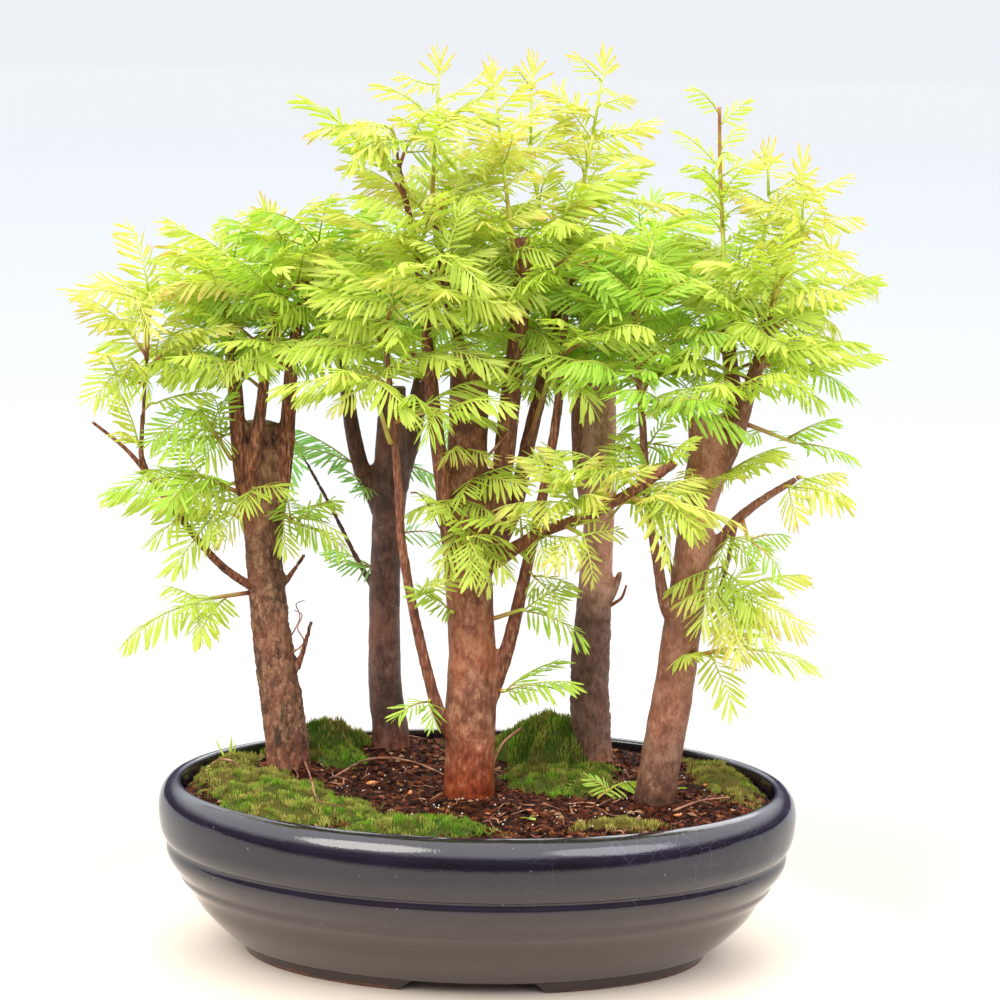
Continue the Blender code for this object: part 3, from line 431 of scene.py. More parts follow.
def square_to_oval(u, v, inset):
    """Place on the oval with this inset of a point in a square, with even spacing all over."""
    if u == 0.0 and v == 0.0:
        return 0.0, 0.0
    if abs(u) > abs(v):
        radius, angle = u, math.pi / 4.0 * v / u
    else:
        radius, angle = v, math.pi / 2.0 - math.pi / 4.0 * u / v
    return (TRAY_LONG - inset) * radius * math.cos(angle), (TRAY_WIDE - inset) * radius * math.sin(angle)


# Compost: damp dark brown crumbs with redder bark dust, matt, broken up at 1 to 4 mm.
compost, nodes, spot = new_material("damp_crumbled_compost")
lump = add(nodes, "TexVoronoi", [("Vector", spot), ("Scale", per_mm(2.6))])
grain = add(nodes, "SeparateColor", [lump.outputs["Color"]])
earth = add(nodes, "ValToRGB", [grain],
            stops=((0.0, "#170a05"), (0.35, "#2e150c"), (0.7, "#4a2213"), (0.93, "#6b3720"), (1.0, "#8d5a36")))
fine = add(nodes, "TexNoise", [("Vector", spot), ("Scale", per_mm(0.9)), ("Detail", 4.0)])
deep = add(nodes, "MapRange", [fine, 0.35, 0.65, 0.35, 1.25])
shade = add(nodes, "Mix", [1.0, earth, deep], data_type="RGBA", blend_type="MULTIPLY")
tone = add(nodes, "Attribute", attribute_name="pale")
bits = add(nodes, "Mix", [tone.outputs["Fac"], shade, "#b08b68"], data_type="RGBA")
rough = add(nodes, "Bump", [("Strength", 0.7), ("Distance", 0.0006), ("Height", fine)])
skin = add(nodes, "BsdfPrincipled", [("Base Color", bits), ("Roughness", 0.9), ("Specular IOR Level", 0.1),
                                     ("Normal", rough)])
add(nodes, "OutputMaterial", [skin])

verts = []
size = SOIL_CELLS + 1
for j in range(size):
    for i in range(size):
        u, v = 2.0 * i / SOIL_CELLS - 1.0, 2.0 * j / SOIL_CELLS - 1.0
        x, y = square_to_oval(u, v, SOIL_INSET)
        crumb = 1.3 * abs(lumps(x, y, 2.1, 1.3)) + 0.35 * lumps(x, y, 1.0, 9.2)
        verts.append((x * MM, y * MM, (ground(x, y) + crumb) * MM))
faces = [(j * size + i, j * size + i + 1, (j + 1) * size + i + 1, (j + 1) * size + i)
         for j in range(SOIL_CELLS) for i in range(SOIL_CELLS)]
edge = list(range(SOIL_CELLS)) + [j * size + SOIL_CELLS for j in range(SOIL_CELLS)]
edge += [SOIL_CELLS * size + i for i in range(SOIL_CELLS, 0, -1)]
edge += [j * size for j in range(SOIL_CELLS, 0, -1)]
turns = [math.atan2(verts[k][1] / (TRAY_WIDE - SOIL_INSET), verts[k][0] / (TRAY_LONG - SOIL_INSET))
         for k in edge]
above = edge
for height, inset in SOIL_SIDE:
    below = range(len(verts), len(verts) + len(edge))
    verts += oval(height, inset, turns)
    for i in range(len(edge)):
        k = (i + 1) % len(edge)
        faces.append((above[k], above[i], below[i], below[k]))
    above = below
faces.append(tuple(reversed(above)))

# Loose crumbs, bark chips and grit on top, each a small faceted lump sunk by a third. One in
# fourteen is pale.
CRUMBS = 3400
CRUMB_INSET = 13.5
CRUMB_SMALLEST = 0.5
CRUMB_SPREAD = 1.3
DARK_CRUMBS = 0.93
CRUMB_CORNERS = ((1, 0, 0), (-1, 0, 0), (0, 1, 0), (0, -1, 0), (0, 0, 1), (0, 0, -1))
CRUMB_FACES = ((0, 2, 4), (2, 1, 4), (1, 3, 4), (3, 0, 4), (2, 0, 5), (1, 2, 5), (3, 1, 5), (0, 3, 5))
dice = random.Random(41)
pale = [0.0] * len(verts)
for _ in range(CRUMBS):
    x, y = square_to_oval(dice.uniform(-0.97, 0.97), dice.uniform(-0.97, 0.97), CRUMB_INSET)
    size = CRUMB_SMALLEST + CRUMB_SPREAD * dice.random() ** 2.5
    z = ground(x, y) + 0.45 + 0.25 * size
    start = len(verts)
    turn = dice.uniform(0.0, math.pi)
    tone = 0.0 if dice.random() < DARK_CRUMBS else dice.uniform(0.15, 0.75)
    stretch = dice.uniform(1.0, 1.9)
    for a, b, c in CRUMB_CORNERS:
        a, b, c = (value * size * dice.uniform(0.7, 1.25) for value in (a * stretch, b, c * 0.8))
        px = x + a * math.cos(turn) - b * math.sin(turn)
        py = y + a * math.sin(turn) + b * math.cos(turn)
        verts.append((px * MM, py * MM, (z + c) * MM))
        pale.append(tone)
    faces += [(start + a, start + b, start + c) for a, b, c in CRUMB_FACES]
smooth = [len(face) == 4 for face in faces]
soil = piece("soil_bed", verts, faces, [compost], smooth=smooth, numbers=[("pale", pale)])
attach(soil, "root")
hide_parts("soil")

# Moss: low cushions of feathery green shoots on the soil, yellower at their tips, with a painted highlight on
# the tips and painted shade at their feet, heaped up against the trunks and thinner toward the rim, which none
# of them crosses.
# (name, node it stands for, centre x and y, half length and half width, turn in degrees, height,
# yellow share, seed)
MOSS = (
    ("moss_cushion_left", "moss_left", -92, -28, 30, 40, 18, 4.5, 0.55, 3),
    ("moss_cushion_front", "moss_front", -30, -68, 40, 15, 4, 3.5, 0.45, 5),
    ("moss_mound_rear_left", "moss_rear_left", -76, 64, 26, 15, 28, 12.0, 0.46, 7),
    ("moss_mound_rear_right", "moss_rear_right", 38, 54, 30, 24, 150, 21.0, 0.44, 9),
    ("moss_patch_far_left", None, -122, 32, 15, 28, -12, 2.4, 0.75, 11),
    ("moss_patch_left_foot", None, -108, 4, 24, 22, 10, 2.4, 0.65, 21),
    ("moss_patch_left_gap", None, -62, -42, 16, 18, 20, 2.2, 0.45, 23),
    ("moss_patch_rear_foot", None, -70, 44, 16, 14, 10, 3.2, 0.35, 25),
    ("moss_patch_middle_right", None, 40, 20, 30, 30, 8, 2.8, 0.5, 13),
    ("moss_patch_right", None, 117, 30, 15, 36, 14, 3.0, 0.7, 15),
    ("moss_patch_front_right", None, 66, -56, 22, 8, 12, 1.4, 0.85, 17),
    ("moss_patch_rear", None, 4, 82, 26, 10, -4, 2.4, 0.4, 19),
)
MOSS_AROUND = 54
MOSS_ACROSS = 16
MOSS_INSET = 13.5
MOSS_THICK = 0.002
# Above this height it is a mound: lumpier, with taller tufts, on flat ground
MOUND_RISE = 10.0
# Moss grows in little tufts, one to so many square millimetres, of many small pointed sprigs
TUFT_AREA = 17.0
SPRIGS_PER_MM2 = 1.7
SPRIG_INSET = 13.0
SPRIG_SIDES = 3

# Living moss: soft and matt, with a little light passing through. Deep green at the feet of the shoots and on
# the cushion under them is painted shade, and the lighter yellow-green at their tips is a painted highlight.
green_moss, nodes, spot = new_material("feathery_moss_with_painted_light")
patch = add(nodes, "TexNoise", [("Vector", spot), ("Scale", per_mm(13.0)), ("Detail", 3.0)])
tip = add(nodes, "Attribute", attribute_name="tip")
yellow = add(nodes, "Attribute", attribute_name="yellow")
turn = add(nodes, "Math", [patch, yellow.outputs["Fac"]], operation="ADD")
turn = add(nodes, "MapRange", [turn, 0.75, 1.25])
low = add(nodes, "Mix", [turn, "#365319", "#5c4f1e"], data_type="RGBA")
high = add(nodes, "Mix", [turn, "#9bcf34", "#e4dc74"], data_type="RGBA")
# The tip mask carries the painted light: dark at the feet of the shoots, light at their tips
leaf = add(nodes, "Mix", [tip.outputs["Fac"], low, high], data_type="RGBA")
fuzz = add(nodes, "TexNoise", [("Vector", spot), ("Scale", per_mm(0.8)), ("Detail", 3.0)])
mix = add(nodes, "MapRange", [fuzz, 0.3, 0.7, 0.8, 1.4])
leaf = add(nodes, "Mix", [1.0, leaf, mix], data_type="RGBA", blend_type="MULTIPLY")
bump = add(nodes, "Bump", [("Strength", 0.8), ("Distance", 0.0005), ("Height", fuzz)])
skin = add(nodes, "BsdfPrincipled", [("Base Color", leaf), ("Roughness", 0.9), ("Specular IOR Level", 0.15),
                                     ("Normal", bump)])
through = add(nodes, "BsdfTranslucent", [leaf])
both = add(nodes, "MixShader", [0.25, skin, through])
add(nodes, "OutputMaterial", [both])

for name, node, cx, cy, long, wide, turn, rise, share_yellow, seed in MOSS:
    dice = random.Random(seed)
    turn = math.radians(turn)
    mound = rise > MOUND_RISE

    def cushion(u, v):
        """Point of the cushion's top, u out of 1 from its middle, with its edge let into the soil."""
        wave = 1.0 + 0.36 * noise.noise(Vector((math.cos(v) * 1.6, math.sin(v) * 1.6, seed)))
        wave += 0.24 * noise.noise(Vector((math.cos(v) * 4.0, math.sin(v) * 4.0, seed)))
        a, b = long * math.cos(v) * u * wave, wide * math.sin(v) * u * wave
        x = cx + a * math.cos(turn) - b * math.sin(turn)
        y = cy + a * math.sin(turn) + b * math.cos(turn)
        over = max(1.0, oval_share(x, y, MOSS_INSET))
        x, y = x / over, y / over
        lump = 1.9 * lumps(x, y, 7.0, seed) + 0.9 * lumps(x, y, 3.0, seed)
        if mound:
            lump = lump * 1.5 + 1.6 * lumps(x, y, 12.0, seed + 4.0)
        height = (1.6 + rise) * (1.0 - u ** 1.7) + lump * (1.1 - 0.5 * u) - 1.4 * u ** 6
        flat = SOIL_MIDDLE + SOIL_SLOPE * y + 0.2 if mound else ground(x, y)
        return x, y, flat + height

    # The cushion itself: rings from the middle out, a point on top, and a closed underside
    places = [cushion((j + 1) / MOSS_ACROSS, 2.0 * math.pi * i / MOSS_AROUND)
              for j in range(MOSS_ACROSS) for i in range(MOSS_AROUND)]
    verts = [(x * MM, y * MM, z * MM) for x, y, z in places + [cushion(0.0, 0.0)]]
    top, base, last = len(verts) - 1, len(verts), len(verts) - 1 - MOSS_AROUND
    verts += [(x, y, z - MOSS_THICK) for x, y, z in verts[last:top]]
    faces = [tuple(reversed(face)) for face in ring_faces(MOSS_ACROSS, MOSS_AROUND, caps=False)]
    faces += [(i, (i + 1) % MOSS_AROUND, top) for i in range(MOSS_AROUND)]
    for i in range(MOSS_AROUND):
        k = (i + 1) % MOSS_AROUND
        faces.append((last + k, last + i, base + i, base + k))
    faces.append(tuple(reversed(range(base, base + MOSS_AROUND))))
    # The cushion under the sprigs takes the dark end of the tip mask, as painted shade
    sprig_light = [0.0] * len(verts)
    yellows = [share_yellow] * len(verts)
    smooth = [True] * len(faces)
    # Tufts: each has its place, its reach, how far it swells, its brightness, which is painted light, and its
    # yellow
    tufts = []
    for _ in range(int(math.pi * long * wide / TUFT_AREA)):
        x, y, _ = cushion(dice.random() ** 0.5 * 1.08, dice.uniform(0.0, 2.0 * math.pi))
        tall = 1.7 if mound else 1.0
        tufts.append((x, y, dice.uniform(1.7, 3.3) * tall, dice.uniform(0.5, 1.9) * tall,
                      dice.uniform(0.30, 1.0), dice.uniform(-0.3, 0.3)))
    for _ in range(int(math.pi * long * wide * SPRIGS_PER_MM2)):
        tx, ty, reach, swell, tuft_light, shift = dice.choice(tufts)
        away, turn_to = dice.random() ** 0.6, dice.uniform(0.0, 2.0 * math.pi)
        x, y = tx + reach * away * math.cos(turn_to), ty + reach * away * math.sin(turn_to)
        if any(math.hypot(x - fx, y - fy) < radius for fx, fy, radius in TRUNK_FEET):
            continue
        if oval_share(x, y, SPRIG_INSET) > 1.0:
            continue
        a = (x - cx) * math.cos(turn) + (y - cy) * math.sin(turn)
        b = (y - cy) * math.cos(turn) - (x - cx) * math.sin(turn)
        v = math.atan2(b / wide, a / long)
        edge_x, edge_y, _ = cushion(1.0, v)
        z = cushion(min(1.0, math.hypot(x - cx, y - cy) / max(0.1, math.hypot(edge_x - cx, edge_y - cy))), v)[2]
        length = swell * (1.0 - away * away) + dice.uniform(0.7, 2.1)
        radius = dice.uniform(0.30, 0.52)
        lean = away * dice.uniform(0.4, 1.5)
        lean_x = lean * math.cos(turn_to) + dice.uniform(-0.4, 0.4)
        lean_y = lean * math.sin(turn_to) + dice.uniform(-0.4, 0.4)
        spin = dice.uniform(0.0, 2.0)
        start = len(verts)
        for k in range(SPRIG_SIDES):
            angle = spin + 2.0 * math.pi * k / SPRIG_SIDES
            px, py = x + radius * math.cos(angle), y + radius * math.sin(angle)
            verts.append((px * MM, py * MM, (z - 0.5) * MM))
        verts.append(((x + lean_x) * MM, (y + lean_y) * MM, (z + length) * MM))
        faces += [(start, start + 1, start + 3), (start + 1, start + 2, start + 3),
                  (start + 2, start, start + 3), (start + 2, start + 1, start)]
        # Painted light: a sprig is dark at its foot as painted shade, and lighter at its tip as a painted
        # highlight
        sprig_light += [0.05, 0.05, 0.05, tuft_light * dice.uniform(0.75, 1.1)]
        yellows += [share_yellow + shift + dice.uniform(-0.1, 0.1)] * 4
        smooth += [False] * 4
    moss = piece(name, verts, faces, [green_moss], smooth=smooth, numbers=[("tip", sprig_light), ("yellow", yellows)])
    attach(moss, "root")
    if node:
        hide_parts(node)

# The five trees: young dawn redwoods cut flat at the top, with new limbs that rise from below
# the cut. The bark is fibrous and red-brown, rough on the oldest and flaking on one behind.
# Each line is (x, y, z, radius) in millimetres, the same as in the part's source.
TREES = {
    "left": {
        "trunk": [(-91, 28, 62, 11), (-92, 28, 89, 10.6), (-96, 28, 116, 10), (-101, 28, 150, 9.3),
                  (-104, 28, 179, 8.7), (-106, 28, 208, 8.6), (-107, 28, 232, 8), (-107, 28, 246, 7.6)],
        "low_limb": [(-103, 25, 166, 2.4), (-111, 20, 169, 2.2), (-126, 16, 181, 2), (-145, 12, 205, 1.8),
                     (-159, 10, 226, 1.6), (-160, 10, 243, 1.3), (-158, 12, 280, 1)],
        "low_twig": [(-157, 10, 222, 1.2), (-168, 6, 235, 0.9), (-182, 2, 247, 0.7)],
        "rise_left": [(-107, 27, 185, 4.5), (-112, 22, 209, 4.4), (-116, 22, 237, 4), (-119, 26, 268, 3.4),
                      (-123, 32, 293, 2.6), (-125, 36, 309, 1.8)],
        "rise_front": [(-104, 25, 192, 3.4), (-109, 19, 219, 3.2), (-105, 17, 257, 2.8),
                       (-102, 16, 281, 2.2), (-97, 14, 304, 1.6)],
        "rise_right": [(-101, 28, 192, 4.4), (-97, 30, 213, 4.2), (-94, 28, 237, 3.8), (-92, 25, 271, 3.2),
                       (-88, 22, 299, 2.4), (-81, 18, 321, 1.6)],
        "spur": [(-98, 28, 163, 1.8), (-93, 30, 170, 1.4), (-85, 32, 182, 1)],
        "dead_twig": [(-93, 26, 115, 2), (-87, 26, 129, 1.5), (-81, 25, 151, 1.1)],
    },
    "rear_left": {
        "trunk": [(-43, 69, 63, 10), (-44, 69, 86, 9.2), (-47, 69, 108, 8.3), (-48, 69, 133, 7.8),
                  (-48, 69, 163, 7.6), (-47, 69, 193, 7.8), (-46, 69, 218, 8.6), (-46, 69, 242, 7),
                  (-46, 71, 259, 6.6)],
        "rise_left": [(-50, 69, 200, 4.8), (-60, 67, 218, 4.2), (-65, 66, 238, 3.8), (-69, 67, 262, 3.2),
                      (-73, 73, 285, 2.4), (-80, 79, 307, 1.6)],
        "rise_right": [(-44, 69, 211, 5.4), (-37, 73, 232, 4.8), (-33, 75, 257, 4.2), (-28, 77, 286, 3.2),
                       (-24, 81, 310, 2.2)],
        "low_limb": [(-51, 70, 155, 1.8), (-62, 75, 172, 1.4), (-76, 79, 198, 1.2), (-93, 83, 227, 0.9)],
    },
    "middle": {
        "trunk": [(-3, -12, 58, 12.5), (-4, -12, 80, 12), (-4, -12, 99, 11.6), (-4, -12, 123, 11.9),
                  (-4, -12, 146, 11), (-6, -12, 175, 10.8), (-7, -12, 198, 10), (-8, -12, 226, 9.3),
                  (-8, -12, 254, 9.1), (-8, -12, 284, 8.8)],
        "stub_right": [(-1, -11, 187, 6), (4, -12, 208, 5.6), (8, -14, 231, 5), (11, -16, 264, 4.8),
                       (14, -17, 296, 4.4), (15, -18, 321, 3.9), (14, -18, 338, 3.8)],
        "rise_right": [(-2, -9, 180, 4.6), (13, -2, 209, 4), (20, 2, 243, 3.6), (27, 4, 276, 3.2),
                       (31, 6, 299, 2.7), (35, 10, 322, 2), (39, 14, 342, 1.4)],
        "low_right": [(1, -12, 116, 4.4), (10, -14, 140, 3.6), (15, -16, 160, 3.2), (21, -20, 191, 2.8),
                      (28, -22, 228, 2.4), (33, -22, 265, 2.2), (35, -20, 301, 1.6), (38, -18, 324, 1.1)],
        "near_limb": [(-3, -14, 185, 4), (6, -18, 190, 3.8), (17, -28, 199, 3.2), (30, -42, 209, 2.7),
                      (48, -54, 218, 2.5), (67, -62, 231, 2.5), (84, -66, 244, 2.3)],
        "rise_left": [(-12, -14, 182, 4.3), (-16, -20, 204, 4), (-19, -22, 227, 3.8), (-23, -22, 255, 3.4),
                      (-26, -20, 280, 3), (-29, -20, 305, 2.2), (-34, -22, 336, 1.8), (-40, -26, 363, 1.5),
                      (-42, -28, 376, 1)],
        "leader": [(-9, -12, 274, 3.4), (-16, -14, 300, 2.6), (-22, -16, 328, 2), (-26, -18, 350, 1.5)],
        "low_left": [(-9, -14, 104, 4), (-18, -20, 117, 3.2), (-25, -24, 141, 2.7), (-32, -28, 172, 2.4),
                     (-37, -30, 201, 2.2), (-39, -31, 228, 2), (-43, -32, 265, 1.7), (-46, -32, 298, 1.1)],
    },
    "rear_right": {
        "trunk": [(56, 46, 63, 10.6), (55, 46, 86, 9.8), (53, 46, 111, 9.6), (53, 46, 136, 9.2),
                  (54, 46, 165, 8.2), (55, 46, 194, 7.4), (55, 46, 224, 7), (55, 46, 248, 6.9),
                  (55, 46, 266, 6.6)],
        "rise_left": [(52, 47, 201, 4.2), (46, 50, 223, 3.8), (44, 50, 252, 3.6), (45, 50, 281, 3),
                      (48, 52, 309, 2.2)],
        "stub_right": [(56, 46, 155, 2.6), (63, 44, 165, 2), (66, 43, 175, 1.4)],
        "rise_right": [(55, 50, 234, 4.2), (58, 55, 261, 3.2), (60, 56, 285, 2.6), (63, 58, 309, 1.8)],
    },
    "right": {
        "trunk": [(81, -19, 61, 10), (83, -19, 84, 9.6), (86, -19, 107, 9.5), (90, -19, 136, 9.2),
                  (93, -19, 164, 8.8), (96, -19, 192, 8.4), (98, -19, 220, 8.2), (101, -19, 241, 8.3),
                  (100, -19, 259, 7.9)],
        "rise_mid": [(99, -18, 212, 5), (109, -15, 241, 4.6), (113, -15, 262, 4.2), (110, -14, 289, 3.4),
                     (108, -13, 312, 2.4)],
        "rise_right": [(106, -18, 232, 4.4), (114, -22, 251, 4), (119, -24, 272, 3.4), (124, -25, 290, 2.9),
                       (127, -26, 306, 2.2)],
        "rise_left": [(91, -21, 160, 3.6), (84, -27, 173, 3), (79, -30, 196, 2.4), (74, -32, 222, 2.1),
                      (71, -33, 254, 1.9), (68, -33, 281, 1.6), (65, -31, 308, 1.1)],
        "spur": [(93, -17, 175, 2), (88, -12, 184, 1.5), (82, -9, 202, 1.2)],
        "right_limb": [(99, -19, 190, 3.6), (107, -21, 200, 2.8), (115, -25, 212, 2.4), (127, -29, 223, 2),
                       (141, -33, 233, 1.6)],
        "hanging_twig": [(115, -25, 212, 1.1), (112, -27, 194, 0.9), (108, -28, 179, 0.7)],
    },
}
# Limbs that start thinner than this are twigs, put on as plain bars. The rest melt into one body.
TWIG_BELOW = 1.7
WOOD_STEP = 1.6
WOOD_SIDES = 28
TWIG_SIDES = 8
WOOD_VOXEL = 0.00115
LIMB_SWELL = 0.35
LIMB_SWELL_REACH = 7.0
THINNEST = 0.4
CUT_DEPTH = 0.7
# Knots on each trunk: (place on the bark, radius)
KNOTS = {
    "middle": [((-10, -24, 108), 2.2), ((2, -24, 101), 1.9), ((4, -23, 89), 1.5), ((2, -23, 133), 1.8),
               ((-12, -21, 150), 1.6)],
    "left": [((-92, 18, 128), 2.6), ((-104, 20, 190), 2.4)],
    "right": [((97, -27, 150), 2.8), ((88, -28, 118), 1.8)],
    "rear_right": [((60, 39, 150), 2.6)],
    "rear_left": [((-46, 61, 175), 1.8)],
}
# What each bark shows: its pale, middle and dark colours and its branches' colour, the colours of
# its foot and how high that reaches, the size of its grain, how flaky it is, up to what height and
# how light it is there, how rough it is, and at the foot, and how much dark green it bears
BARKS = {
    "left": dict(
        ridge="#ba8f6e", middle="#865a42", dark="#3e291e", branch="#8a4c30", foot_dark="#42301f", foot="#8a4a35",
        foot_height=34.0, grain=1.2, flaky=0.34, flaky_top=205.0, flaky_light=1.0, rough=0.86, foot_rough=0.80,
        mould=0.75),
    "rear_left": dict(
        ridge="#8c6c5e", middle="#6c4a40", dark="#4a332c", branch="#6a4030", foot_dark="#452317", foot="#84482f",
        foot_height=30.0, grain=2.2, flaky=0.20, flaky_top=98.0, flaky_light=0.95, rough=0.58, foot_rough=0.60,
        mould=0.15),
    "middle": dict(
        ridge="#b88c6a", middle="#8c543a", dark="#5c3423", branch="#864a32", foot_dark="#642510", foot="#a2431a",
        foot_height=50.0, grain=1.5, flaky=0.12, flaky_top=260.0, flaky_light=1.0, rough=0.62, foot_rough=0.26,
        mould=0.10),
    "rear_right": dict(
        ridge="#dcb49c", middle="#ba8b75", dark="#8a6350", branch="#7a4a38", foot_dark="#5c3422", foot="#b0633f",
        foot_height=22.0, grain=1.4, flaky=0.45, flaky_top=166.0, flaky_light=0.38, rough=0.70, foot_rough=0.72,
        mould=0.35),
    "right": dict(
        ridge="#cc9a7c", middle="#b07256", dark="#844e38", branch="#7e4c3a", foot_dark="#2f1f15", foot="#4e3020",
        foot_height=44.0, grain=1.1, flaky=0.12, flaky_top=196.0, flaky_light=0.80, rough=0.58, foot_rough=0.52,
        mould=0.15),
}
# Where a foot's colours start to fade. Their ragged edge brings this down by 25 mm or so
FOOT_LEVEL = 0.098
# Trees whose bark stands in small plates, and the height where it turns smooth
PLATED = {"left": 190.0, "rear_right": 158.0, "rear_left": 94.0}
PLATED_FADE = 26.0
# Wood thinner than this has a branch's stringy bark
BRANCH_BELOW = 6.0


def ring_frame(direction, tangent):
    """Two axes across a bar: the same reference serves the whole of its line."""
    reference = Vector((0.0, 1.0, 0.0)) if abs(direction.y) < 0.8 else Vector((1.0, 0.0, 0.0))
    side = tangent.cross(reference).normalized()
    return side, tangent.cross(side)


def tube(points, radii, sides):
    """Round bar along a line of points, as vertices and faces."""
    verts = []
    straight = (points[-1] - points[0]).normalized()
    for i, (centre, radius) in enumerate(zip(points, radii)):
        before, after = points[max(0, i - 1)], points[min(len(points) - 1, i + 1)]
        side, other = ring_frame(straight, (after - before).normalized())
        for k in range(sides):
            turn = 2.0 * math.pi * k / sides
            verts.append(centre + (side * math.cos(turn) + other * math.sin(turn)) * radius)
    return verts, ring_faces(len(points), sides)


def join(verts, faces, more, more_faces):
    """Append one mesh's lists to another's."""
    start = len(verts)
    verts += more
    faces += [tuple(start + i for i in face) for face in more_faces]


def step_up(value, low, high):
    """0 up to low, 1 from high on, and a soft step between them."""
    share = min(1.0, max(0.0, (value - low) / (high - low)))
    return share * share * (3.0 - 2.0 * share)


def bark_relief(tree, x, y, z, radius):
    """How far bark stands out, in millimetres, and how deep in a furrow the place is, 0 to 1, which the bark
    darkens as painted shade.
    """
    if radius < BRANCH_BELOW:
        strand = noise.noise(Vector((x / 1.3, y / 1.3, z / 9.0)))
        peel = noise.noise(Vector((x / 3.0, y / 3.0, z / 16.0 + 5.0)))
        stand = (0.24 * strand + 0.22 * peel) * min(1.0, radius / 3.5)
        return stand, step_up(-strand, 0.05, 0.45)
    rough = noise.noise(Vector((x / 1.4, y / 1.4, z / 2.4)))
    lump = noise.noise(Vector((x / 6.5, y / 6.5, z / 10.0 + 2.0)))
    plated_to = PLATED.get(tree, 0.0)
    plated = 1.0 - step_up(z, plated_to - PLATED_FADE, plated_to)
    if plated > 0.0:
        (first, second, _, _), (cell, _, _, _) = noise.voronoi(Vector((x / 2.9, y / 2.9, z / 5.2)))
        gap = 1.0 - step_up(second - first, 0.02, 0.18)
        plate = 0.62 * noise.noise(cell * 3.1) - 0.46 * gap
        return 0.42 * lump + 0.36 * rough + plate * plated, 0.55 * gap * plated
    fibre = noise.noise(Vector((x / 1.9, y / 1.9, z / 9.0)))
    if tree == "middle":
        # Worn smooth at the foot, fibrous above it
        fibrous = step_up(z, 92.0, 130.0)
        stand = (0.26 * fibre + 0.14 * rough) * (0.15 + 0.85 * fibrous) + 0.45 * lump
        return stand, step_up(-fibre, 0.2, 0.6) * fibrous * 0.5
    return 0.14 * fibre + 0.10 * rough + 0.42 * lump, step_up(-fibre, 0.25, 0.7) * 0.3


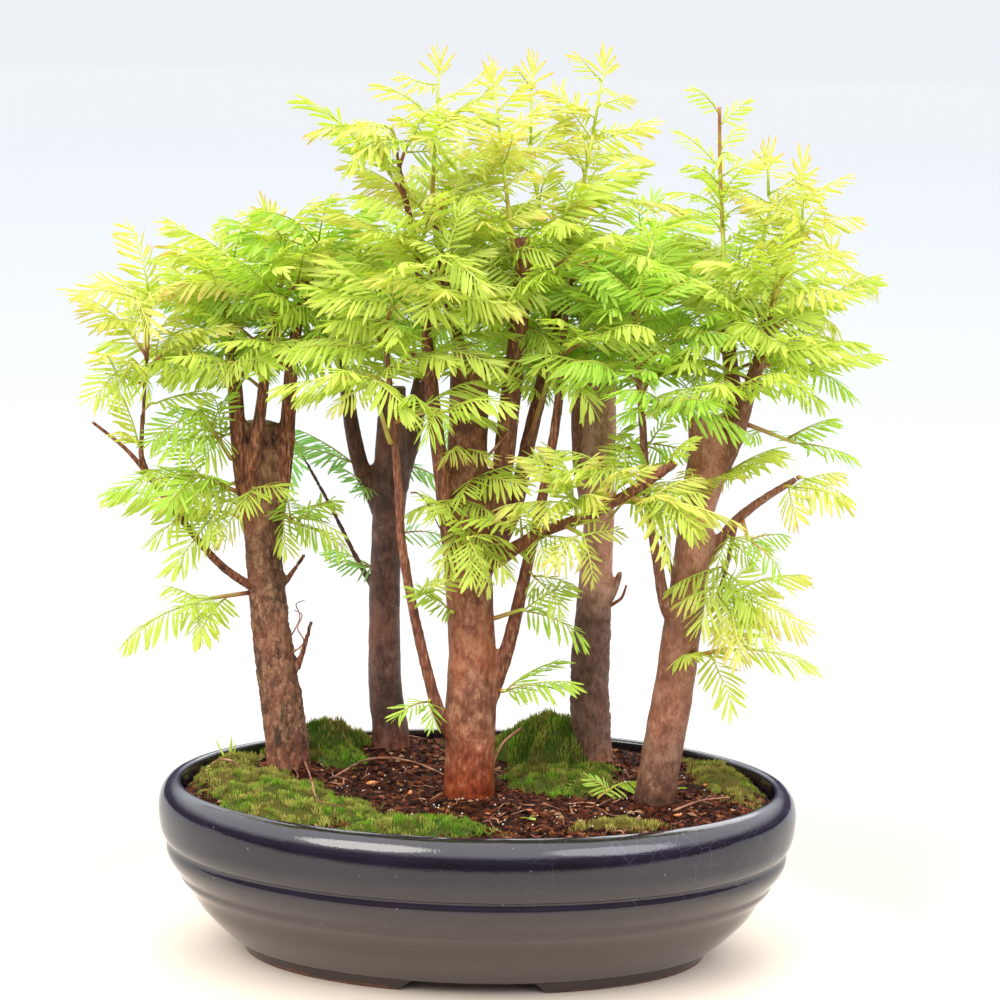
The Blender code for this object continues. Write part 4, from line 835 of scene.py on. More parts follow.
def bark_material(tree, ridge, middle, dark, branch, foot_dark, foot, foot_height, grain, flaky, flaky_top,
                  flaky_light, rough, foot_rough, mould):
    """Conifer bark: dry, fine flakes and fibres in several browns, redder and smoother at the foot, with painted
    shade in its furrows.
    """
    material, nodes, spot = new_material("fibrous_bark_with_painted_shade_" + tree)
    height = add(nodes, "SeparateXYZ", [spot])
    drawn = add(nodes, "Mapping", [("Vector", spot), ("Scale", (1.0, 1.0, 0.42))])
    strand = add(nodes, "TexNoise", [("Vector", drawn), ("Scale", per_mm(grain)), ("Detail", 8.0),
                                     ("Roughness", 0.72)])
    stringy = add(nodes, "Mapping", [("Vector", spot), ("Scale", (1.0, 1.0, 0.22))])
    string = add(nodes, "TexNoise", [("Vector", stringy), ("Scale", per_mm(0.9)), ("Detail", 6.0)])
    blotch = add(nodes, "TexNoise", [("Vector", spot), ("Scale", per_mm(7.5)), ("Detail", 6.0),
                                     ("Roughness", 0.68)])
    patch = add(nodes, "TexNoise", [("Vector", spot), ("Scale", per_mm(30.0)), ("Detail", 3.0)])
    value = add(nodes, "Mix", [0.45, strand, blotch])
    value = add(nodes, "Mix", [0.30, value, patch])
    # Small flakes, each in its own shade, with dark cracks between them
    bent = add(nodes, "VectorMath", [blotch.outputs["Color"], 3.0 * MM], operation="SCALE")
    bent = add(nodes, "VectorMath", [drawn, bent], operation="ADD")
    flake = add(nodes, "TexVoronoi", [("Vector", bent), ("Scale", per_mm(1.9))])
    flake = add(nodes, "SeparateColor", [flake.outputs["Color"]])
    flake = add(nodes, "MapRange", [flake, 0.0, 1.0, 0.38, 0.62])
    edge = add(nodes, "TexVoronoi", [("Vector", bent), ("Scale", per_mm(1.9))], feature="DISTANCE_TO_EDGE")
    edge = add(nodes, "MapRange", [edge, 0.0, 0.10, 1.0, 0.0])
    here = add(nodes, "MapRange", [height.outputs["Z"], (flaky_top - 25.0) * MM, flaky_top * MM, flaky, 0.04])
    value = add(nodes, "Mix", [here, value, flake])
    bark = add(nodes, "ValToRGB", [value], stops=((0.42, dark), (0.495, middle), (0.575, ridge)))
    light = add(nodes, "MapRange", [height.outputs["Z"], (flaky_top - 14.0) * MM, flaky_top * MM, flaky_light,
                                    1.0])
    bark = add(nodes, "Mix", [1.0, bark, light], data_type="RGBA", blend_type="MULTIPLY")
    crack = add(nodes, "Math", [edge, here], operation="MULTIPLY")
    bark = add(nodes, "Mix", [crack, bark, dark], data_type="RGBA")
    warm = add(nodes, "MapRange", [patch, 0.50, 0.62, 0.0, 0.40])
    bark = add(nodes, "Mix", [warm, bark, foot], data_type="RGBA")
    # Branch bark, where the wood is thin
    twig = add(nodes, "ValToRGB", [string], stops=((0.30, dark), (0.50, branch), (0.76, ridge)))
    thin = add(nodes, "Attribute", attribute_name="branch")
    wood = add(nodes, "Mix", [thin.outputs["Fac"], bark, twig], data_type="RGBA")
    # The foot's own colours, up to a ragged edge
    ragged = add(nodes, "Math", [blotch, 50.0 * MM, height.outputs["Z"]], operation="MULTIPLY_ADD")
    low = add(nodes, "MapRange", [ragged, FOOT_LEVEL, FOOT_LEVEL + foot_height * MM, 0.9, 0.0],
              interpolation_type="SMOOTHSTEP")
    flow = add(nodes, "ValToRGB", [value], stops=((0.42, foot_dark), (0.52, foot), (0.64, ridge)))
    rooted = add(nodes, "Mix", [low, wood, flow], data_type="RGBA")
    # Painted shade: the bark darkens in the furrows of its relief and in the knots' hollows
    furrow = add(nodes, "Attribute", attribute_name="furrow")
    sunk = add(nodes, "Math", [furrow.outputs["Fac"], 0.75], operation="MULTIPLY")
    furrow_shaded = add(nodes, "Mix", [sunk, rooted, dark], data_type="RGBA")
    # Pale specks of dry skin and grit
    fleck = add(nodes, "TexVoronoi", [("Vector", spot), ("Scale", per_mm(2.2))])
    rarely = add(nodes, "SeparateColor", [fleck.outputs["Color"]])
    rarely = add(nodes, "MapRange", [rarely, 0.80, 1.0])
    fleck = add(nodes, "MapRange", [fleck, 0.06, 0.18, 0.8, 0.0])
    fleck = add(nodes, "Math", [fleck, rarely], operation="MULTIPLY")
    chalky = add(nodes, "Mix", [fleck, furrow_shaded, "#d8c2aa"], data_type="RGBA")
    # Dark green growth on the damp parts of the bark
    damp = add(nodes, "TexNoise", [("Vector", drawn), ("Scale", per_mm(9.0)), ("Detail", 6.0),
                                   ("Roughness", 0.7)])
    damp = add(nodes, "MapRange", [damp, 0.53, 0.63, 0.0, mould])
    below = add(nodes, "MapRange", [height.outputs["Z"], 150.0 * MM, 190.0 * MM, 1.0, 0.1])
    damp = add(nodes, "Math", [damp, below], operation="MULTIPLY")
    chalky = add(nodes, "Mix", [damp, chalky, "#2b2a1c"], data_type="RGBA")
    # Sawn tops: bare wood, weathered pale
    sawn = add(nodes, "Attribute", attribute_name="cut")
    age = add(nodes, "ValToRGB", [blotch], stops=((0.3, "#6d5442"), (0.5, "#a78868"), (0.7, "#c8ac88")))
    body = add(nodes, "Mix", [sawn.outputs["Fac"], chalky, age], data_type="RGBA")
    sheen = add(nodes, "Mix", [low, rough, foot_rough])
    fine = add(nodes, "Bump", [("Strength", 0.8), ("Distance", 0.0005), ("Height", strand)])
    cracked = add(nodes, "Bump", [("Strength", 0.5), ("Distance", 0.0004), ("Height", crack), ("Normal", fine)],
                  invert=True)
    skin = add(nodes, "BsdfPrincipled", [("Base Color", body), ("Roughness", sheen), ("IOR", 1.45),
                                         ("Normal", cracked)])
    add(nodes, "OutputMaterial", [skin])
    return material


def nearest_in(places):
    """Something that finds the nearest of these places."""
    tree = kdtree.KDTree(len(places))
    for i, place in enumerate(places):
        tree.insert(place, i)
    tree.balance()
    return tree


for tree, limbs in TREES.items():
    verts, faces = [], []
    thin_verts, thin_faces = [], []
    spine = []
    for limb, line in limbs.items():
        rows = curve_through(line, WOOD_STEP)
        points = [Vector(row[:3]) * MM for row in rows]
        radii = [max(THINNEST, row[3]) * MM for row in rows]
        if limb != "trunk":
            # A low collar swells each limb where it leaves the wood that bears it.
            radii = [radius * (1.0 + LIMB_SWELL * math.exp(-i * WOOD_STEP / LIMB_SWELL_REACH))
                     for i, radius in enumerate(radii)]
        spine += [(p, r / MM) for p, r in zip(points, radii)]
        if line[0][3] <= TWIG_BELOW:
            join(thin_verts, thin_faces, *tube(points, radii, TWIG_SIDES))
        else:
            join(verts, faces, *tube(points, radii, WOOD_SIDES))
    block = piece("wood_block", verts, faces, [])
    melt = block.modifiers.new("melt", "REMESH")
    melt.mode = "VOXEL"
    melt.voxel_size = WOOD_VOXEL
    ease = block.modifiers.new("ease", "SMOOTH")
    ease.factor = 0.5
    ease.iterations = 3
    mesh = bpy.data.meshes.new_from_object(block.evaluated_get(bpy.context.evaluated_depsgraph_get()))
    bpy.data.objects.remove(block, do_unlink=True)
    near_spine = nearest_in([p for p, _ in spine])
    core = [(Vector(row[:3]) * MM, row[3]) for row in curve_through(limbs["trunk"], WOOD_STEP)]
    near_core = nearest_in([p for p, _ in core])
    top, top_radius = Vector(limbs["trunk"][-1][:3]) * MM, limbs["trunk"][-1][3] * MM
    solid, furrow_shades, branches, cuts = [], [], [], []
    for vertex in mesh.vertices:
        p, normal = vertex.co, vertex.normal
        radius = spine[near_spine.find(p)[1]][1]
        # Next to the trunk's own line it is trunk bark, whatever limb runs closer
        _, i, away = near_core.find(p)
        outside = step_up(away / MM - core[i][1], 0.5, 3.0)
        if outside < 0.5:
            radius = core[i][1]
        stand, furrow = bark_relief(tree, p.x / MM, p.y / MM, p.z / MM, radius)
        flat = p.z > top.z - CUT_DEPTH * MM and (p - top).length < top_radius
        if flat:
            stand, furrow = 0.25 * noise.noise(p * per_mm(1.6)), 0.0
        for place, size in KNOTS[tree]:
            away = (p - Vector(place) * MM).length / (size * MM)
            if away < 2.5:
                # A raised lip round a hollow, which the bark darkens as painted shade
                hollow = 0.9 * math.exp(-(away / 0.6) ** 2)
                stand += 0.9 * math.exp(-((away - 1.0) / 0.4) ** 2) - hollow
                furrow = max(furrow, hollow)
        solid.append(p + normal * (stand * MM))
        furrow_shades.append(furrow)
        branches.append((1.0 - step_up(radius, 4.5, 7.0)) * outside)
        cuts.append(1.0 if flat else 0.0)
    faces = [tuple(polygon.vertices) for polygon in mesh.polygons]
    bpy.data.meshes.remove(mesh)
    extra = len(thin_verts)
    join(solid, faces, thin_verts, thin_faces)
    furrow_shades += [0.0] * extra
    branches += [1.0] * extra
    cuts += [0.0] * extra
    bark = bark_material(tree, **BARKS[tree])
    wood = piece("tree_" + tree, solid, faces, [bark],
                 numbers=[("furrow", furrow_shades), ("branch", branches), ("cut", cuts)])
    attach(wood, "root")
    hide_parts("wood_" + tree)

# The leafy shoots: this year's slim stems, orange or pink where they start and green at the end,
# each with flat feathery sprays of soft needles set in pairs along a rib.
# (name, tree, limb, share of the way along it, points the stem bends through and the leaf tip,
# side sprays, spray length, tone, seed), the same as in the part's source
SHOOTS = [
    ("left_tip", "left", "low_limb", 1.0, [(-157, 4, 304), (-182, -24, 310)], 1, 42, "gold", 28),
    ("left_droop", "left", "low_limb", 0.93, [(-162, 0, 280), (-179, -14, 261)], 1, 42, "lime", 51),
    ("left_up", "left", "low_limb", 0.97, [(-157, 18, 308), (-169, 26, 335)], 1, 44, "gold", 75),
    ("left_crown_up", "left", "rise_left", 1.0, [(-128, 52, 341)], 2, 40, "gold", 119),
    ("left_crown_back", "left", "rise_left", 0.88, [(-136, 58, 297), (-160, 76, 316)], 2, 42, "green", 33),
    ("left_top", "left", "rise_front", 1.0, [(-91, 4, 335), (-108, -8, 357)], 1, 42, "gold", 49),
    ("left_front", "left", "rise_front", 0.85, [(-97, -10, 289), (-115, -34, 288)], 1, 44, "lime", 69),
    ("left_front_right", "left", "rise_right", 0.9, [(-67, -16, 302), (-52, -34, 296)], 1, 40, "lime", 18),
    ("left_arch", "left", "rise_left", 0.36, [(-131, 10, 255), (-155, 2, 239)], 1, 46, "green", 51),
    ("left_mid", "left", "rise_left", 0.24, [(-137, 8, 226), (-170, -4, 215)], 1, 44, "green", 74),
    ("left_inner", "left", "rise_right", 0.08, [(-86, 16, 202), (-67, 8, 189)], 1, 36, "green", 55),
    ("left_low", "left", "trunk", 0.56, [(-131, 14, 164), (-167, 4, 143)], 1, 48, "lime", 55),
    ("rear_left_top", "rear_left", "rise_left", 1.0, [(-104, 98, 344)], 2, 44, "green", 52),
    ("rear_left_up", "rear_left", "rise_right", 1.0, [(-35, 92, 332), (-39, 97, 352)], 2, 42, "green", 14),
    ("rear_left_mid", "rear_left", "rise_right", 0.8, [(-50, 58, 307), (-69, 52, 328)], 2, 44, "green", 58),
    ("rear_left_low", "rear_left", "low_limb", 1.0, [(-98, 98, 208)], 1, 38, "teal", 92),
    ("rear_left_inner", "rear_left", "rise_right", 0.4, [(-18, 100, 229)], 1, 40, "teal", 36),
    ("leader_left", "middle", "rise_left", 1.0, [(-48, -30, 386), (-77, -34, 385)], 1, 34, "gold", 54),
    ("leader_apex", "middle", "leader", 1.0, [(-25, -22, 385), (-23, -24, 423)], 4, 38, "gold", 61),
    ("leader_mid", "middle", "stub_right", 0.97, [(4, -24, 373), (0, -28, 408)], 2, 42, "gold", 69),
    ("leader_rear", "middle", "rise_right", 0.84, [(18, 22, 372), (19, 27, 412)], 2, 34, "gold", 12),
    ("leader_right", "middle", "rise_right", 1.0, [(43, 16, 372), (51, 18, 417)], 4, 33, "gold", 95),
    ("middle_left", "middle", "low_left", 1.0, [(-69, -58, 303)], 2, 44, "lime", 106),
    ("middle_front", "middle", "rise_left", 0.62, [(-21, -52, 329), (-3, -76, 321)], 2, 46, "lime", 111),
    ("middle_fan_left", "middle", "low_left", 0.74, [(-48, -48, 271), (-65, -62, 266)], 0, 38, "gold", 1),
    ("middle_fan_right", "middle", "rise_right", 0.42, [(33, -30, 283), (46, -50, 267)], 1, 40, "lime", 107),
    ("middle_right_top", "middle", "low_right", 1.0, [(52, -50, 318)], 1, 44, "green", 92),
    ("trunk_front", "middle", "trunk", 0.62, [(-6, -46, 208), (4, -58, 186)], 1, 42, "lime", 99),
    ("trunk_side_left", "middle", "trunk", 0.48, [(-30, -40, 178)], 0, 26, "green", 6),
    ("trunk_side_right", "middle", "trunk", 0.46, [(15, -20, 172), (44, -28, 159)], 1, 44, "green", 22),
    ("trunk_low_right", "middle", "low_right", 0.07, [(41, -32, 138)], 1, 38, "green", 99),
    ("near_up", "middle", "near_limb", 0.62, [(40, -66, 231), (16, -72, 246)], 1, 42, "gold", 31),
    ("near_down", "middle", "near_limb", 0.52, [(41, -68, 211), (49, -74, 193)], 1, 44, "gold", 54),
    ("near_right", "middle", "near_limb", 0.8, [(78, -74, 226), (110, -78, 221)], 1, 44, "gold", 29),
    ("rear_right_up", "rear_right", "rise_left", 1.0, [(14, 86, 347)], 2, 44, "green", 46),
    ("rear_right_top", "rear_right", "rise_right", 1.0, [(78, 78, 349)], 2, 44, "green", 90),
    ("rear_right_mid", "rear_right", "trunk", 0.84, [(74, 42, 236), (97, 38, 235)], 1, 38, "green", 103),
    ("stick", "right", "rise_mid", 1.0, [(102, -10, 366), (101, -10, 398)], 2, 0, "lime", 68),
    ("right_leader_mid", "right", "rise_mid", 0.82, [(125, -2, 350), (126, 4, 387)], 2, 30, "gold", 6),
    ("right_leader", "right", "rise_right", 1.0, [(137, -22, 344), (140, -20, 380)], 4, 36, "gold", 110),
    ("right_tip", "right", "rise_right", 0.92, [(153, 4, 329), (183, 30, 316)], 1, 42, "gold", 2),
    ("right_mid", "right", "rise_right", 0.7, [(138, -10, 288), (165, 6, 269)], 1, 42, "green", 24),
    ("right_lower", "right", "rise_right", 0.34, [(140, -12, 249), (166, -2, 240)], 1, 42, "green", 24),
    ("right_end", "right", "right_limb", 1.0, [(164, -42, 226)], 0, 30, "lime", 1),
    ("right_hang", "right", "right_limb", 0.5, [(116, -38, 210), (132, -46, 194)], 1, 34, "green", 22),
    ("right_cluster", "right", "hanging_twig", 1.0, [(108, -36, 173), (129, -56, 163)], 1, 42, "lime", 54),
    ("right_low", "right", "trunk", 0.45, [(108, -36, 155), (147, -44, 151)], 1, 48, "lime", 54),
    ("right_inner", "right", "rise_left", 1.0, [(73, -44, 341)], 2, 42, "green", 10),
]
UP = Vector((0.0, 0.0, 1.0))
CLEARANCE = 0.0004
STEM_COLLAR = 0.0016
STEM_RADIUS = 0.0012
STEM_THINNING = 1.0 / 3.0
STEM_WANDER = 0.004
TIP_WANDER = 0.0015
STEM_SIDES = 7
RIB_SIDES = 3
PETIOLE = 0.0028
SIDE_SPRAY_SHARE = 0.86
BARE_STEM_SPRAY = 0.036
SIDE_SPRAY_TOP = 0.96
SIDE_SPRAY_EVERY = 0.30
SIDE_SPRAY_PAIR = 0.06
SIDE_SPRAY_LOWEST = 0.3
ARCH = (0.10, 0.45)
SIDE_SPRAY_ANGLE = math.radians(56.0)
NEEDLE_PITCH = 0.0026
NEEDLE_LENGTH = 0.0145
NEEDLE_FULL_FROM = 0.036
NEEDLE_WIDTH = 0.0016
NEEDLE_THICK = 0.00026
NEEDLE_OPEN = math.radians(62.0)
NEEDLE_CLOSE = math.radians(20.0)
# Along a needle: share of the length and of the full width, to a narrow soft tip
NEEDLE_SHAPE = ((0.0, 0.34), (0.40, 1.0), (0.80, 0.90), (1.0, 0.20))
# Upright leaders end in a tuft over short level sprays, in place of one long spray. Here is how
# long each is, as a share of the spray it stands for.
LEADERS = {
    "leader_apex": 0.72, "leader_mid": 1.0, "leader_rear": 1.0, "leader_right": 1.0, "right_leader": 0.76,
    "right_leader_mid": 0.60, "left_top": 0.55, "left_crown_up": 0.55, "rear_left_up": 1.0,
    "rear_left_top": 0.55, "rear_right_top": 1.0, "right_inner": 1.0,
}
LEADER_SPRAY_EVERY = 0.0062
LEADER_TUFT = 11
GOLDEN_TURN = math.radians(137.5)

# Sprays that the part's source adds to fill the crown out, by shoot: (share of the way along its
# stem, heading, lean of its upper face, length in millimetres, arch)
CROWN_SPRAYS = {
    "left_crown_back": [(0.253, (0.86, 0.51, -0.02), (-0.58, -0.52), 42, 0.36)],
    "left_top": [(0.234, (-0.93, -0.37, 0.02), (-0.50, -0.21), 49, 0.25)],
    "left_front": [(0.439, (0.97, -0.15, -0.18), (0.56, -0.79), 50, 0.11)],
    "left_front_right": [(0.324, (0.77, -0.10, 0.63), (0.38, 0.20), 48, 0.16)],
    "rear_left_mid": [(0.319, (-0.74, -0.63, -0.22), (-0.38, 0.27), 50, 0.28),
                      (0.656, (0.65, -0.69, 0.31), (-0.13, 0.04), 40, 0.39)],
    "leader_apex": [(0.209, (-0.26, 0.94, 0.22), (-0.44, -0.01), 42, 0.38)],
    "leader_mid": [(0.209, (-0.68, 0.73, 0.10), (-0.03, 0.14), 47, 0.12)],
    "leader_rear": [(0.169, (-0.99, 0.10, -0.07), (0.12, 0.03), 47, 0.16),
                    (0.331, (0.34, -0.83, 0.45), (0.21, 0.12), 45, 0.15)],
    "leader_right": [(0.284, (0.98, 0.17, -0.05), (0.37, 0.12), 46, 0.13)],
    "middle_front": [(0.422, (0.99, -0.11, -0.01), (0.03, -0.60), 46, 0.35)],
    "rear_right_up": [(0.480, (-0.76, 0.61, -0.24), (0.53, -0.26), 48, 0.22)],
    "right_leader": [(0.199, (0.48, -0.87, 0.11), (-0.40, -0.08), 48, 0.29)],
    "right_tip": [(0.350, (-0.47, 0.88, -0.07), (-0.53, 0.14), 49, 0.14)],
}


def tipped(dice, aside, ahead, behind):
    """A direction near straight up, at random within these limits, for a spray's upper face."""
    return UP + Vector((dice.uniform(-aside, aside), dice.uniform(-ahead, behind), 0.0))


def along_line(points, share):
    """Place and direction a share of the way along a line of points, its span and how far in that."""
    spans = [(b - a).length for a, b in zip(points, points[1:])]
    left = share * sum(spans)
    for i, span in enumerate(spans):
        if left <= span or i == len(spans) - 1:
            direction = (points[i + 1] - points[i]).normalized()
            return points[i] + direction * min(left, span), direction, i, min(1.0, left / span)
        left -= span


def limb_line(tree, limb):
    return [Vector(p[:3]) * MM for p in TREES[tree][limb]]


def stem_start(tree, limb, share, aim):
    """First two points of a shoot, square to the face of the wood that bears it."""
    line = TREES[tree][limb]
    points = limb_line(tree, limb)
    centre, direction, i, part = along_line(points, share)
    radius = (line[i][3] + (line[i + 1][3] - line[i][3]) * part) * MM
    if share >= 1.0:
        return [centre + direction * CLEARANCE, centre + direction * (CLEARANCE + STEM_COLLAR)]
    out = aim - centre
    out = (out - direction * out.dot(direction)).normalized()
    # The solids have trunks of nine sides, limbs of six and twigs of four
    sides = 9 if limb == "trunk" else 4 if line[0][3] < 2.5 else 6
    side, other = ring_frame((points[-1] - points[0]).normalized(), direction)
    turn = math.atan2(out.dot(other), out.dot(side)) % (2.0 * math.pi / sides)
    face = radius * math.cos(math.pi / sides) / math.cos(turn - math.pi / sides)
    return [centre + out * (face + CLEARANCE), centre + out * (face + CLEARANCE + STEM_COLLAR)]


def shoot_plan(row):
    """One shoot's stem points and its sprays, by the same rule and draws as in the source."""
    name, tree, limb, share, points, sides, length, _, seed = row
    dice = random.Random(seed)
    way = [Vector(p) * MM for p in points]
    for p in way:
        wander = STEM_WANDER if p is not way[-1] else TIP_WANDER
        p += Vector([dice.uniform(-wander, wander) for _ in range(3)])
    line = stem_start(tree, limb, share, way[0]) + way
    facing = UP * 0.9 + Vector((dice.uniform(-0.5, 0.5), dice.uniform(-0.9, 0.2), 0.0))
    heading = (line[-1] - line[-2]).normalized()
    sprays = []
    if length > 0.0:
        length = min(length * MM, (line[-1] - line[-2]).length * 0.94)
        line[-1] = line[-1] - heading * length
        foot = line[-1] + heading * (STEM_RADIUS * 0.5)
        sprays.append((foot, heading, facing, length, dice.uniform(*ARCH), 0.0))
    for i in range(sides):
        share = SIDE_SPRAY_TOP - SIDE_SPRAY_EVERY * (i // 2) - SIDE_SPRAY_PAIR * (i % 2)
        centre, direction, _, _ = along_line(line, max(SIDE_SPRAY_LOWEST, share))
        side = direction.cross(facing).normalized()
        if i // 2 % 2:
            side = direction.cross(side).normalized()
        side = side * (1 if i % 2 else -1)
        angle = SIDE_SPRAY_ANGLE + dice.uniform(-0.25, 0.25)
        aim = direction * math.cos(angle) + side * math.sin(angle) + UP * dice.uniform(-0.25, 0.35)
        tilt = facing + Vector((dice.uniform(-0.4, 0.4), dice.uniform(-0.5, 0.3), 0.0))
        size = (length or BARE_STEM_SPRAY) * SIDE_SPRAY_SHARE * dice.uniform(0.85, 1.05)
        sprays.append((centre, aim.normalized(), tilt, size, dice.uniform(*ARCH), PETIOLE))
    for share, heading, lean, length, arch in CROWN_SPRAYS.get(name, ()):
        centre = along_line(line, share)[0]
        sprays.append((centre, Vector(heading).normalized(), UP + Vector((*lean, 0.0)), length * MM, arch,
                       PETIOLE))
    return line, sprays


class Leafage:
    """What grows on one stem or limb: bars of stem and rib, and rows of needles."""

    def __init__(self):
        self.verts, self.faces, self.young = [], [], []
        self.needles = []

    def bar(self, points, radii, sides, young):
        """Add a stem or rib; young runs from its foot to its tip."""
        start = len(self.verts)
        join(self.verts, self.faces, *tube(points, radii, sides))
        rings = (len(self.verts) - start) // sides
        for j in range(rings):
            share = j / max(1, rings - 1)
            self.young += [young[0] + (young[1] - young[0]) * share] * sides

    def stem(self, line, steps, radius, thinning, sides, young):
        """Add a smooth stem through a line of points, thinner by this share at its tip."""
        curved = [Vector(p) for p in curve_through(line, steps)]
        last = len(curved) - 1
        self.bar(curved, [radius * (1.0 - thinning * k / last) for k in range(last + 1)], sides, young)

    def needle(self, root, rib, away, over, angle, size, width, hang, curl, youth, dice):
        """Add one needle that leaves the rib at an angle, hanging a little and curled down."""
        point = rib * math.cos(angle) + away * math.sin(angle)
        point = (point - over * hang).normalized()
        flat = away.cross(over) * -1.0 if away.dot(over) > 0.9 else rib - point * rib.dot(point)
        flat = (flat.normalized() + over * dice.uniform(-0.6, 0.6)).normalized()
        flat = (flat - point * flat.dot(point)).normalized()
        if flat.cross(point).dot(over) < 0.0:
            flat = -flat
        self.needles.append((root, point, flat, size, width, curl, dice.uniform(-0.13, 0.13), youth))

    def spray(self, origin, along, facing, length, arch, petiole, youth, dice):
        """Add a spray: a rib that arches over, with needles in pairs that hang from it."""
        youth += dice.uniform(-0.16, 0.16)
        across = along.cross(facing).normalized()
        up = across.cross(along).normalized()
        pairs = max(5, round((length - petiole) / NEEDLE_PITCH))
        pitch = (length - petiole) / (pairs + 0.6)

        def on_rib(u):
            return origin + along * u + up * (arch * u * (1.0 - u / length))

        stops = [length * k / 5.0 for k in range(6)]
        self.bar([on_rib(u) for u in stops], [(0.6 - 0.08 * k) * MM for k in range(6)], RIB_SIDES,
                 (youth * 0.6 + 0.25, youth * 0.6 + 0.4))
        width = NEEDLE_WIDTH * min(1.0, (length / NEEDLE_FULL_FROM) ** 0.4) * dice.uniform(0.9, 1.1)
        spread = dice.uniform(0.86, 1.08)
        hang = dice.uniform(0.10, 0.55)
        curl = dice.uniform(0.02, 0.22)
        full = NEEDLE_LENGTH * min(1.0, length / NEEDLE_FULL_FROM) ** 0.6 * dice.uniform(0.94, 1.08)
        for i in range(pairs + 1):
            share = (i + 0.5) / (pairs + 1)
            u = petiole + min(i, pairs) * pitch
            rib = (along + up * (arch * (1.0 - 2.0 * u / length))).normalized()
            over = across.cross(rib).normalized()
            sideways = rib.cross(over).normalized()
            size = full * (0.52 + 0.56 * math.sin(math.pi * (0.16 + 0.70 * share)))
            for side in (1.0, -1.0):
                angle = (NEEDLE_OPEN + (NEEDLE_CLOSE - NEEDLE_OPEN) * share ** 1.5) * spread
                self.needle(on_rib(u + side * 0.4 * MM), rib, sideways * side, over,
                            angle + dice.uniform(-0.15, 0.15), size * dice.uniform(0.84, 1.10),
                            width * dice.uniform(0.88, 1.12), hang + dice.uniform(-0.18, 0.18),
                            curl + dice.uniform(-0.07, 0.10),
                            youth * (0.55 + 0.45 * share) + dice.uniform(-0.08, 0.08), dice)
        rib = (along - up * arch).normalized()
        self.needle(on_rib(length * 0.97), rib, across, up, 0.12, full * 0.6, width * 0.8, 0.1, 0.1, youth, dice)

    def leader(self, origin, along, length, youth, dice):
        """Add the end of an upright shoot: short sprays round it, and a tuft on top."""
        tip = origin + along * length
        self.bar([origin, origin + along * length * 0.5, tip], [0.8 * MM, 0.65 * MM, 0.4 * MM], 5, (0.7, 0.95))
        count = int(length / LEADER_SPRAY_EVERY)
        turn = dice.uniform(0.0, 6.0)
        across = along.orthogonal().normalized()
        for i in range(count):
            part = i / count
            side = Matrix.Rotation(GOLDEN_TURN * i + turn, 3, along) @ across
            aim = (side + along * dice.uniform(0.15, 0.65)).normalized()
            tilt = (along + side * dice.uniform(-0.5, 0.2)).normalized()
            self.spray(origin + along * length * (0.06 + 0.86 * part), aim, tilt,
                       (27.0 - 13.0 * part) * MM * dice.uniform(0.8, 1.15), dice.uniform(-0.3, 0.3), 1.5 * MM,
                       youth, dice)
        for i in range(LEADER_TUFT):
            side = Matrix.Rotation(GOLDEN_TURN * i + turn, 3, along) @ across
            over = along.cross(side).cross(along)
            self.needle(tip - along * (0.6 * MM * i), along, side, over.cross(side).normalized(),
                        math.radians(12.0 + 4.5 * i), NEEDLE_LENGTH * dice.uniform(0.6, 0.85),
                        NEEDLE_WIDTH * 0.85, 0.0, dice.uniform(-0.05, 0.15), youth + 0.1, dice)

    def build(self, name, tone):
        """Make the object: needles first, then the stems that carry them."""
        rows = self.needles
        root, point, flat = (np.array([tuple(row[k]) for row in rows]) for k in range(3))
        length, width, curl, sweep, youth = np.array([row[3:] for row in rows]).T[:, :, None]
        over = np.cross(flat, point)
        blades, reach = [], []
        for share, wide in NEEDLE_SHAPE:
            middle = root + point * length * share - (over * curl + flat * sweep) * length * share ** 2
            blades += [middle - flat * width * wide * 0.5, middle + flat * width * wide * 0.5,
                       middle - over * NEEDLE_THICK * (0.4 + 0.6 * wide)]
            reach += [share] * 3
        verts = np.stack(blades, axis=1).reshape(-1, 3)
        size = len(blades)
        shape = []
        for k in range(0, size - 3, 3):
            shape += [(k, k + 1, k + 4, k + 3), (k + 1, k + 2, k + 5, k + 4), (k + 2, k, k + 3, k + 5)]
        shape += [(0, 2, 1), (size - 3, size - 2, size - 1)]
        faces = [tuple(start + k for k in face) for start in range(0, len(verts), size) for face in shape]
        count = len(verts)
        young = np.repeat(youth[:, 0], size).tolist() + self.young
        reach = reach * len(rows) + [0.0] * len(self.verts)
        kinds = [0] * len(faces) + [1] * len(self.faces)
        faces += [tuple(count + k for k in face) for face in self.faces]
        verts = verts.tolist() + self.verts
        item = piece(name, verts, faces, [NEEDLES[tone], green_stem], kinds=kinds,
                     smooth=[k == 1 for k in kinds], numbers=[("young", young), ("reach", reach)])
        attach(item, "root")
        return item


# Soft new needles: thin, slightly waxy and lit through, so they glow against the pale room. The
# outer growth is yellower, and the newest tips blush orange.
LIT_THROUGH = 0.61
